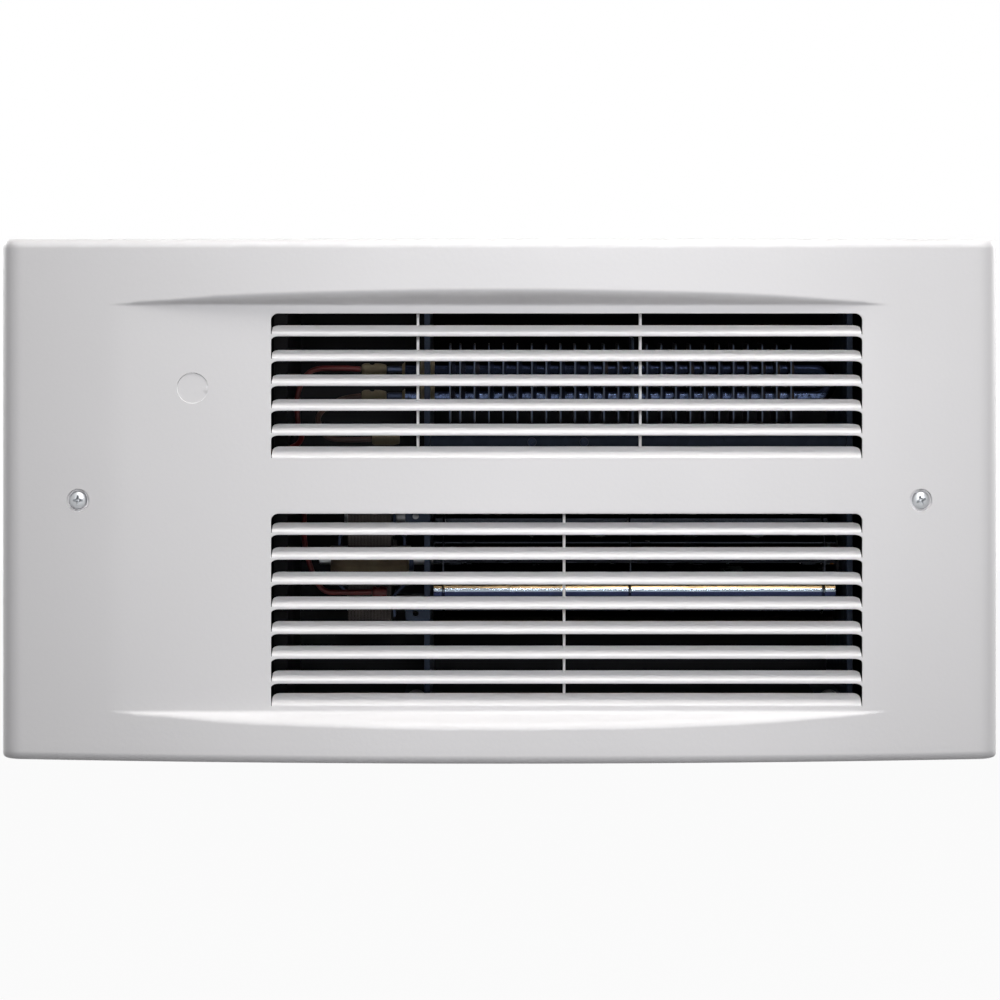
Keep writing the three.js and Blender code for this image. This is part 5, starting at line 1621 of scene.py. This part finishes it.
    def _baffle(self) -> None:
        """The baffle between the banks, with its lip and its tongue."""
        box = NodeBox.of("dividing_baffle")
        front, shelf = box.low[1] + 1, box.high[2] - 1
        tongue = (32.375, box.low[2] - 0.05)
        line = [(front, shelf - 12.5), (front, shelf), (26.0, shelf), (tongue[0] - 3, tongue[1] + 8), tongue]
        baffle = self._bent("air_baffle", "dividing_baffle", line, 1.6)
        for name in ("limit_screw_left", "limit_screw_right"):
            x, _, z = NodeBox.of(name).centre
            hole = rod(Axis.Y, (x, front, z), self.switch_hole, -2, 1)
            combined(baffle, hole.piece("hole"), Change.CUT)
        self.shop.hand_over(baffle, Finish.GALVANISED, ["dividing_baffle"])

    def _limit_switch(self) -> None:
        """The high-limit switch: a moulded body, its strap and two terminal blades."""
        box = NodeBox.of("high_limit_switch")
        x0, y0, z0 = box.low
        x1, y1, z1 = box.high
        middle = box.centre[0]
        body = block((middle - 9, y0 + 1, z0), (middle + 9, y0 + 11, z1))
        disc = rod(Axis.Z, (middle, y0 + 6, z0), 4.2, 0.0, 1.0)
        moulding = carved("limit_switch_body", body, [disc], (), 0.6)
        self.shop.hand_over(moulding, Finish.PHENOLIC, ["high_limit_switch"])
        strap = prism(rounded((x0, z1 - 6), (x1, z1), 1.6), Axis.Y, y0, y0 + 1)
        across = [NodeBox.of(f"limit_screw_{side}").centre[0] for side in ("left", "right")]
        holes = [rod(Axis.Y, (x, y0, z1 - 2.0), self.switch_hole, -1, 3) for x in across]
        self.shop.hand_over(carved("limit_switch_strap", strap, (), holes), Finish.ZINC)
        for number, x in enumerate((middle - 5, middle + 5)):
            tab = block((x - 0.4, y0 + 10, z1 - 8), (x + 0.4, y1, z1 - 3))
            eye = rod(Axis.X, (x, y1 - 2.5, z1 - 5.5), 0.7, -1, 1, 24)
            self.shop.hand_over(carved(f"limit_switch_blade_{number}", tab, (), [eye], 0.25), Finish.ZINC)


# ---- heating element
@dataclass
class HeatingElement:
    """A sheathed hairpin with pressed fins, its seals, bushes and middle bracket."""

    shop: Workshop
    legs: Point = (48.0, 61.0)
    depth: float = 22.0
    tube: float = 4.0
    left_end: float = -46.0
    bend_start: float = 154.0
    first_fin: float = -24.0
    second_fin: float = -19.1
    pitch: float = 6.97
    places: int = 24
    bracket_place: int = 12
    fin_sheet: float = 0.6
    collar: Point = (4.7, 2.4)
    fin_depths: Point = (9.0, 35.0)

    def build(self) -> None:
        """Makes the element and what holds it."""
        self._tube()
        self._fins()
        self._terminals()
        for name in ("lower", "upper"):
            self._bush(f"element_bush_{name}")
        self._bracket()

    def _tube(self) -> None:
        """The sheath: two legs and the bend between them."""
        radius = (self.legs[1] - self.legs[0]) / 2
        bend = arc((self.bend_start, self.legs[0] + radius), radius, -90, 90, 32)
        line = [(self.left_end, self.legs[0]), *bend, (self.left_end, self.legs[1])]
        points = [(x, self.depth, z) for x, z in line]
        tube = self.shop.tube("element_sheath", points, self.tube, 32, Finish.SHEATH)
        self.shop.hand_over(tube, Finish.SHEATH, ["finned_element"], angle=40.0)

    def _fin(self, x: float) -> Piece:
        """One fin with a drawn collar round each leg."""
        box = NodeBox.of("finned_element")
        half, (front, back) = self.fin_sheet / 2, self.fin_depths
        outline = rounded((front, box.low[2]), (back, box.high[2]), 2.0, 5)
        radius, length = self.collar
        collars = [turned([(self.tube - 0.3, half), (radius + 0.8, half), (radius + 0.15, half + 0.5),
                           (radius, length), (self.tube - 0.3, length)], Axis.X, (x, self.depth, z), 32)
                   for z in self.legs]
        bores = [rod(Axis.X, (x, self.depth, z), self.tube + 0.03, -2, 5, 32) for z in self.legs]
        return carved("fin", prism(outline, Axis.X, x - half, x + half), collars, bores)

    def _fins(self) -> None:
        """All the fins: a first one, and a row that the bracket breaks."""
        rows = [self._fin(self.first_fin)]
        after = self.bracket_place + 1
        for first, count in ((0, self.bracket_place), (after, self.places - after)):
            fin = self._fin(self.second_fin + first * self.pitch)
            rows.append(self.shop.repeated(fin, count, (self.pitch, 0.0, 0.0)))
        self.shop.hand_over(fused(rows, "element_fins"), Finish.FINS)

    def _terminals(self) -> None:
        """The cold pins and their seals."""
        end, face = NodeBox.of("finned_element").low[0], self.left_end
        pin = [(0.0, end), (1.2, end), (1.6, end + 0.6), (1.6, face), (0.0, face)]
        seal = [(1.65, face - 1.6), (2.4, face - 1.6), (3.5, face - 0.1), (1.65, face - 0.1)]
        for name, profile, facets, finish in (("element_pins", pin, 24, Finish.SHADED_ZINC),
                                              ("element_seals", seal, 32, Finish.BEIGE)):
            pair = [turned(profile, Axis.X, (0.0, self.depth, z), facets).piece("turned") for z in self.legs]
            self.shop.hand_over(fused(pair, name), finish)

    def _bush(self, node: str) -> None:
        """A ceramic bush in the left end plate."""
        start, stop, _, centre = NodeBox.of(node).lathe
        bore, wall, lip = self.tube + 0.3, self.tube + 1.2, self.tube + 2.2
        profile = [(bore, start), (lip - 0.5, start), (lip, start + 0.5), (lip, start + 3.4),
                   (lip - 0.3, start + 3.8), (wall, start + 3.8), (wall, stop - 0.4), (wall - 0.4, stop),
                   (bore, stop)]
        self.shop.lathe(f"{node}_ceramic", profile, centre, Finish.BEIGE, [node])

    def _bracket(self) -> None:
        """The middle bracket on the baffle's shelf."""
        box = NodeBox.of("element_mid_bracket")
        x0, y0, z0 = box.low
        plate = prism(rounded((y0, z0), (box.high[1], box.high[2]), 1.5), Axis.X, x0, x0 + 1.2)
        foot = block((x0, y0 + 3, z0), (box.high[0], y0 + 15, z0 + 1.2))
        holes = [rod(Axis.X, (x0, self.depth, z), self.tube + 0.3, -1, 3) for z in self.legs]
        bracket = carved("element_bracket", plate, [foot], holes, 0.3)
        self.shop.hand_over(bracket, Finish.GALVANISED, ["element_mid_bracket"])


# ---- blower
@dataclass
class Blower:
    """The crossflow wheel with its shafts, and the bearing at its right end."""

    shop: Workshop
    shaft: Point = (46.0, -34.5)
    radius: float = 29.0
    discs: Place = (-27.4, 63.8, 158.5)
    blades: int = 18
    inner: float = 21.5
    lag: float = 17.0
    belly: float = 0.24
    blade_sheet: float = 0.7
    disc_sheet: float = 1.0
    shaft_radius: float = 2.4
    hub: Point = (8.0, 9.0)
    eye: float = 15.5
    stack: Point = (-73.6, -52.6)
    rotor: float = 12.1
    set_screw: Point = (5.5, 1.6)

    def build(self) -> None:
        """Makes what turns and what it turns in."""
        box = NodeBox.of("blower_wheel")
        section = bevelled(prism(self._blade(), Axis.X, box.low[0], box.high[0]).piece("blade"), 0.2)
        blades = self.shop.ring.apply(section, Count=self.blades, Turn=(math.tau / self.blades, 0.0, 0.0),
                                      Centre=Vector((0.0, *self.shaft)) * MM)
        blades.name = "blower_blades"
        self.shop.hand_over(blades, Finish.WHEEL, ["blower_wheel"], "blower")
        for name, x, side in (("left", self.discs[0], 1), ("right", self.discs[2], -1)):
            self._end_disc(f"blower_disc_{name}", x, side)
        self._disc("blower_disc_middle", self.discs[1], self.eye)
        self._shafts()
        self._bearing()

    def _blade(self) -> list[Point]:
        """A blade's section round the origin: forward curved, from the inner circle to the rims."""
        tip_radius = self.radius - 0.6
        lag = math.radians(self.lag)
        tip, root = np.array(polar(tip_radius, lag)), np.array(polar(self.inner, 0.0))
        middle = np.array(polar((tip_radius + self.inner) / 2, lag * self.belly))
        steps = [i / 10 for i in range(11)]
        line = [tuple((1 - t) ** 2 * root + 2 * t * (1 - t) * middle + t * t * tip) for t in steps]
        return thickened(line, self.blade_sheet)

    def _disc(self, name: str, x: float, bore: float) -> None:
        """A disc with a turned rim and a shallow pressed ring."""
        half, r = self.disc_sheet / 2, self.radius
        profile = [(bore, -half), (r - 6, -half), (r - 0.35, -half), (r, -half + 0.3), (r, half - 0.3),
                   (r - 0.35, half), (r - 6, half), (bore, half)]
        self.shop.lathe(name, profile, (x, *self.shaft), Finish.WHEEL, (), "blower", 96)

    def _end_disc(self, name: str, x: float, side: int) -> None:
        """An end disc with its hub, towards the wheel's inside."""
        half, r = self.disc_sheet / 2, self.radius
        radius, length = self.hub
        bore = self.shaft_radius + 0.02
        profile = [(bore, -half), (r - 0.35, -half), (r, -half + 0.3), (r, half - 0.3), (r - 0.35, half),
                   (radius + 3, half), (radius + 1, half + 0.8), (radius, half + 2), (radius, length - 0.6),
                   (radius - 0.6, length), (bore, length)]
        skin = turned([(rr, along * side) for rr, along in profile], Axis.X, (x, *self.shaft), 96)
        into, hole = self.set_screw
        hole = rod(Axis.Z, (x + side * into, *self.shaft), hole, 0, 12, 24)
        self.shop.hand_over(carved(name, skin, (), [hole]), Finish.WHEEL, (), "blower")

    def _shafts(self) -> None:
        """The motor's rotor on the long shaft, and the stub shaft at the right."""
        low, high = self.stack
        r, rotor, ring, line = self.shaft_radius, self.rotor, self.rotor - 2, (0.0, *self.shaft)
        start, stop, *_ = NodeBox.of("motor_rotor_and_shaft").lathe
        profile = [(0.0, start), (r - 0.5, start), (r, start + 0.5), (r, low - 1.4), (ring - 0.4, low - 1.4),
                   (ring, low - 1.0), (ring, low + 0.5), (rotor, low + 0.5), (rotor, high - 0.5),
                   (ring, high - 0.5), (ring, high + 1.0), (ring - 0.4, high + 1.4), (r, high + 1.4),
                   (r, stop - 0.5), (r - 0.5, stop), (0.0, stop)]
        self.shop.lathe("rotor_and_shaft", profile, line, Finish.ZINC, ["motor_rotor_and_shaft"],
                        "blower", 64)
        start, stop, *_ = NodeBox.of("blower_stub_shaft").lathe
        profile = [(0.0, start), (r - 0.5, start), (r, start + 0.5), (r, stop - 0.6), (r - 0.6, stop),
                   (0.0, stop)]
        self.shop.lathe("stub_shaft", profile, line, Finish.ZINC, ["blower_stub_shaft"], "blower")

    def _bearing(self) -> None:
        """The bronze sleeve and its grommet in the right end plate."""
        bore, out, line = self.shaft_radius + 0.3, self.shaft_radius + 2.9, (0.0, *self.shaft)
        start, stop, *_ = NodeBox.of("blower_bearing_sleeve").lathe
        profile = [(bore + 0.3, start), (out - 0.4, start), (out, start + 0.4), (out, stop - 0.4),
                   (out - 0.4, stop), (bore + 0.3, stop), (bore, stop - 0.3), (bore, start + 0.3)]
        self.shop.lathe("bearing_sleeve", profile, line, Finish.BRONZE, ["blower_bearing_sleeve"])
        start, stop, *_ = NodeBox.of("blower_bearing_grommet").lathe
        inner, lip, groove = out + 0.3, 11.2, 8.7
        profile = [(inner, start), (lip - 0.9, start), (lip, start + 0.9), (lip, start + 1.6),
                   (lip - 0.6, start + 2.2), (groove, start + 2.2), (groove, stop - 2.2),
                   (lip - 0.6, stop - 2.2), (lip, stop - 1.6), (lip, stop - 0.9), (lip - 0.9, stop),
                   (inner, stop)]
        self.shop.lathe("bearing_grommet", profile, line, Finish.RUBBER, ["blower_bearing_grommet"],
                        segments=64)


# ---- motor
@dataclass
class Motor:
    """The shaded-pole motor: laminated core, taped coil, straps, screws and spacers."""

    shop: Workshop
    shaft: Point = (46.0, -34.5)
    stack: Point = (-73.6, -52.6)
    laminations: int = 30
    window: tuple = ((24.0, -43.5), (30.0, -25.5))
    bore: float = 12.5
    screws: Point = (-13.0, -56.0)
    screw_hole: float = 2.3
    plate_share: float = 0.93
    tape: tuple = (1.5, 0.16, 6)

    def build(self) -> None:
        """Makes the motor."""
        self._core()
        self._coil()
        for side in ("left", "right"):
            self.shop.refine(f"motor_bearing_strap_{side}", Finish.SHADED_ZINC, 0.35)
        screw = SmallScrew(self.shop, Axis.X, -1, (3.6, 2.4), 2.0, True)
        for name in ("upper", "lower"):
            screw.build(f"motor_screw_{name}", 20.0)
            self._spacer(f"motor_spacer_{name}")

    def _core(self) -> None:
        """The stack of laminations."""
        box = NodeBox.of("motor_core")
        pitch = (self.stack[1] - self.stack[0]) / self.laminations
        x0, x1 = self.stack[0], self.stack[0] + pitch * self.plate_share
        outline = rounded((box.low[1], box.low[2]), (box.high[1], box.high[2]), 2.0)
        (wy0, wz0), (wy1, wz1) = self.window
        y, z = self.shaft
        cuts = [block((x0 - 1, wy0, wz0), (x1 + 1, wy1, wz1)),
                rod(Axis.X, (x0, y, z), self.bore, -1, 2, 64),
                block((x0 - 1, y + self.bore - 1.5, z - 1), (x1 + 1, box.high[1] + 1, z + 1))]
        cuts += [rod(Axis.X, (x0, y, height), self.screw_hole, -1, 2, 24) for height in self.screws]
        plate = carved("lamination", prism(outline, Axis.X, x0, x1), (), cuts)
        core = self.shop.repeated(plate, self.laminations, (pitch, 0.0, 0.0))
        core.name = "laminated_core"
        self.shop.hand_over(core, Finish.CORE, ["motor_core"])

    def _coil(self) -> None:
        """The taped winding, bellied and ridged by its tape, between two cheeks."""
        box = NodeBox.of("motor_coil")
        (x0, y0, z0), (x1, y1, z1) = box.low, box.high
        lip, sheet = 0.8, 1.2
        low, high = z0 + sheet - 0.1, z1 - sheet + 0.1
        core = block((self.stack[0] - 0.3, y0 + 6.0, z0 - 1), (self.stack[1] + 0.3, y1 - 5.4, z1 + 1))
        levels = []
        belly, ridge, turns = self.tape
        for t in spread(0.0, 1.0, 48):
            into = lip + belly * (2 * t - 1) ** 4 + ridge * (1 - abs(math.sin(math.pi * turns * t)))
            outline = rounded((x0 + into, y0 + into * 0.6), (x1 - into, y1 - into * 0.6), 5.0, 8)
            levels.append([(x, y, low + (high - low) * t) for x, y in outline])
        winding = carved("coil_winding", loft(levels), (), [core])
        self.shop.hand_over(winding, Finish.TAPE, ["motor_coil"])
        for name, start in (("lower", z0), ("upper", z1 - sheet)):
            outline = rounded((x0, y0), (x1, y1), 2.0)
            cheek = loft([[(x, y, start + up) for x, y in outline] for up in (0.0, sheet)])
            piece = bevelled(carved(f"coil_cheek_{name}", cheek, (), [core]), 0.3)
            self.shop.hand_over(piece, Finish.PHENOLIC)

    def _spacer(self, node: str) -> None:
        """A turned spacer."""
        start, stop, _, centre = NodeBox.of(node).lathe
        bore, out = 2.3, 4.5
        profile = [(bore, start), (out - 0.4, start), (out, start + 0.4), (out, stop - 0.4),
                   (out - 0.4, stop), (bore, stop)]
        self.shop.lathe(f"{node}_sleeve", profile, centre, Finish.ZINC, [node])


# ---- wiring
@dataclass
class Wiring:
    """Crimps, wire nuts and leads."""

    shop: Workshop
    radius: float = 1.3
    crimps: tuple = (("element_crimp_upper", Finish.BEIGE), ("element_crimp_lower", Finish.BEIGE),
                     ("lead_splice_front", Finish.BEIGE), ("motor_lead_crimp", Finish.RED))
    nuts: tuple = (("wire_nut_left", Finish.RED), ("wire_nut_right", Finish.BLACK))
    routes: dict = field(default_factory=lambda: {
        "lead_element_upper": (Finish.RED, [
            (-67.7, 22, 61), (-78, 22, 61.5), (-92, 15, 60), (-97.6, 10, 50), (-97.8, 12, 36), (-97, 24, 27),
            (-103, 34, 22), (-118, 37, 19), (-129.6, 38, 18)]),
        "lead_element_lower": (Finish.BROWN, [
            (-67.7, 22, 48), (-78, 20, 46), (-88, 14, 38), (-84, 11, 29), (-74, 14, 27), (-62.4, 15, 27.2)]),
        "lead_motor_red": (Finish.RED, [
            (-61.9, 10.6, -46.6), (-74, 10.6, -46.8), (-85.6, 11.1, -45.4), (-94, 14.6, -27), (-96, 28, -2),
            (-98, 33, 14), (-105, 34, 16), (-118, 37, 2), (-129.6, 38, -2)]),
    })

    def build(self) -> None:
        """Makes the wiring."""
        for node, finish in self.crimps:
            self._crimp(node, finish)
        for node, finish in self.nuts:
            self._nut(node, finish)
        for node, (finish, points) in self.routes.items():
            tube = self.shop.tube(f"{node}_wire", smooth_line(points), self.radius, 20, finish)
            self.shop.hand_over(tube, finish, [node], angle=50.0)

    def _crimp(self, node: str, finish: Finish) -> None:
        """A crimped connector with the dent of the tool in its barrel."""
        start, stop, radius, centre = NodeBox.of(node).lathe
        profile = [(0.0, start + 1.5), (1.6, start + 1.4), (1.7, start), (2.2, start), (radius, start + 1.2),
                   (radius, stop - 3), (2.2, stop), (0.0, stop)]
        skin = turned(softened(profile, 0.5), Axis.X, centre)
        _, y, z = centre
        dent = rod(Axis.Y, ((start + stop) / 2 - 1, y, z + radius + 0.6), 1.5, -4, 4, 32)
        self.shop.hand_over(carved(f"{node}_barrel", skin, (), [dent]), finish, [node])

    def _nut(self, node: str, finish: Finish) -> None:
        """A ribbed wire nut, mouth towards +X."""
        start, stop, radius, centre = NodeBox.of(node).lathe
        profile = [(0.0, start), (3.2, start), (3.5, start + 0.4), (5.0, start + 3),
                   (radius - 0.4, stop - 2.6), (radius, stop - 2), (radius, stop - 0.4),
                   (radius - 0.4, stop), (radius - 1.4, stop), (2.6, stop - 5), (0.0, stop - 6)]
        nut = turned(profile, Axis.X, centre, 120, (12, 0.09)).piece(f"{node}_cap")
        self.shop.hand_over(nut, finish, [node])


def partway(first: np.ndarray, last: np.ndarray, start: float, stop: float, at: float) -> np.ndarray:
    """The point between two others, the first at start and the last at stop."""
    return (stop - at) / (stop - start) * first + (at - start) / (stop - start) * last


def smooth_line(points: Sequence[Place], steps: int = 14) -> list[Place]:
    """Points on a centripetal Catmull-Rom curve through the given ones."""
    knots = [np.array(p, float) for p in points]
    knots = [2 * knots[0] - knots[1], *knots, 2 * knots[-1] - knots[-2]]
    line = []
    for p0, p1, p2, p3 in zip(knots, knots[1:], knots[2:], knots[3:]):
        t = np.cumsum([0.0] + [np.linalg.norm(b - a) ** 0.5 for a, b in ((p0, p1), (p1, p2), (p2, p3))])
        for step in range(steps):
            at = t[1] + (t[2] - t[1]) * step / steps
            a1 = partway(p0, p1, t[0], t[1], at)
            a2 = partway(p1, p2, t[1], t[2], at)
            a3 = partway(p2, p3, t[2], t[3], at)
            b1, b2 = partway(a1, a2, t[0], t[2], at), partway(a2, a3, t[1], t[3], at)
            line.append(tuple(partway(b1, b2, t[1], t[2], at)))
    return [*line, tuple(knots[-2])]


# ---- studio
@dataclass
class Stage:
    """The pale floor under the heater."""

    height: float = -0.45
    size: float = 8.0
    colour: Colour = srgb(132, 132, 134)
    white_share: float = 0.955

    def build(self) -> None:
        """Makes the floor; the camera and mirrors see it white, with the heater's shadow."""
        bpy.ops.mesh.primitive_plane_add(size=self.size, location=(0.0, 0.0, self.height))
        floor = bpy.context.object
        floor.name = "floor"
        s = Shader("floor")
        tint = s.blend(s.noise(3.0, 2.0), shaded(self.colour, 0.96), self.colour)
        body = s.node("ShaderNodeBsdfPrincipled", inputs={"Base Color": tint, "Roughness": 0.8})
        white = s.node("ShaderNodeEmission", inputs={"Color": (1, 1, 1, 1), "Strength": 1.0})
        seen = sum((s.node("ShaderNodeLightPath", output=ray) for ray in WHITE_RAYS), 0.0)
        share = seen.between(0.0, 1.0) * self.white_share
        shown = s.node("ShaderNodeMixShader", inputs={0: share, 1: body, 2: white})
        s.node("ShaderNodeOutputMaterial", inputs={"Surface": shown})
        floor.data.materials.append(s.owner)


@dataclass
class Lamp:
    """A soft rectangular lamp that looks at the heater."""

    name: str
    place: Place
    size: Point
    power: float
    spread: float = 120.0
    aim: Place = (0.0, 0.0, 0.0)
    colour: Place = (1.0, 1.0, 1.0)

    def build(self) -> None:
        """Makes the lamp."""
        data = bpy.data.lights.new(self.name, "AREA")
        data.shape = "RECTANGLE"
        data.size, data.size_y = self.size
        data.energy = self.power
        data.color = self.colour
        data.spread = math.radians(self.spread)
        lamp = placed(self.name, data)
        lamp.location = self.place
        lamp.rotation_euler = (Vector(self.aim) - Vector(self.place)).to_track_quat("-Z", "Y").to_euler()


@dataclass
class Studio:
    """World, lamps and the camera that stood where the photograph was taken."""

    camera_distance: float = 1.313
    camera_height: float = 0.1012
    focal_pixels: float = 2731.0
    frame_pixels: float = 1000.0
    centre_pixels: Point = (499.5, 287.0)
    world_light: float = 0.02

    def build(self) -> None:
        """Makes the world, the lamps and the camera."""
        self._world()
        for lamp in (
            Lamp("roof", (0.22, -0.55, 1.55), (1.2, 0.6), 4.4, 76.0, (0.04, 0.0, 0.05), (1.0, 0.99, 0.96)),
            Lamp("key", (0.3, -1.6, 1.4), (0.5, 0.3), 0.44, 38.0, (0.04, 0.0, 0.05), (0.96, 0.98, 1.0)),
            Lamp("fill", (0.25, -2.2, 0.75), (0.3, 0.3), 0.92, 32.0, (0.04, 0.0, 0.03), (0.97, 0.98, 1.0)),
            Lamp("back_left", (-1.5, 1.5, 0.6), (0.9, 0.7), 2.6, 36.0),
            Lamp("back_right", (1.6, 1.3, 0.5), (0.9, 0.7), 2.2, 36.0),
        ):
            lamp.build()
        self._camera()

    def _world(self) -> None:
        """A dim world that the camera and mirrors see as white."""
        s = Shader("studio", world=True)
        bpy.context.scene.world = s.owner
        shown = s.node("ShaderNodeBackground", inputs={"Color": (0.95, 0.97, 1.0, 1.0),
                                                       "Strength": self.world_light})
        white = s.node("ShaderNodeBackground", inputs={"Color": (1, 1, 1, 1), "Strength": 1.0})
        for ray in WHITE_RAYS:
            there = s.node("ShaderNodeLightPath", output=ray)
            shown = s.node("ShaderNodeMixShader", inputs={0: there, 1: shown, 2: white})
        s.node("ShaderNodeOutputWorld", inputs={"Surface": shown})

    def _camera(self) -> None:
        """A level camera, shifted down to frame the heater as the photograph does."""
        data = bpy.data.cameras.new("camera")
        data.sensor_width = 36.0
        data.lens = self.focal_pixels / self.frame_pixels * data.sensor_width
        middle = self.frame_pixels / 2
        data.shift_x = (middle - self.centre_pixels[0]) / self.frame_pixels
        data.shift_y = (self.centre_pixels[1] - middle) / self.frame_pixels
        camera = placed("camera", data)
        camera.location = (0.0, -self.camera_distance, self.camera_height)
        camera.rotation_euler = (math.radians(90.0), 0.0, 0.0)
        bpy.context.scene.camera = camera


def main() -> None:
    """Builds the heater's looks in order."""
    logging.basicConfig(level=logging.INFO, format="%(name)s %(message)s")
    bpy.context.scene.view_settings.view_transform = "Standard"
    shop = Workshop()
    FrontCover(shop).build()
    screw = CrossScrew(shop)
    screw.build("cover_screw_left", 0.0)
    screw.build("cover_screw_right", 20.0)
    for assembly in (WallCan, Chassis, HeatingElement, Blower, Motor, Wiring):
        assembly(shop).build()
    Stage().build()
    Studio().build()


if __name__ == "__main__":
    main()
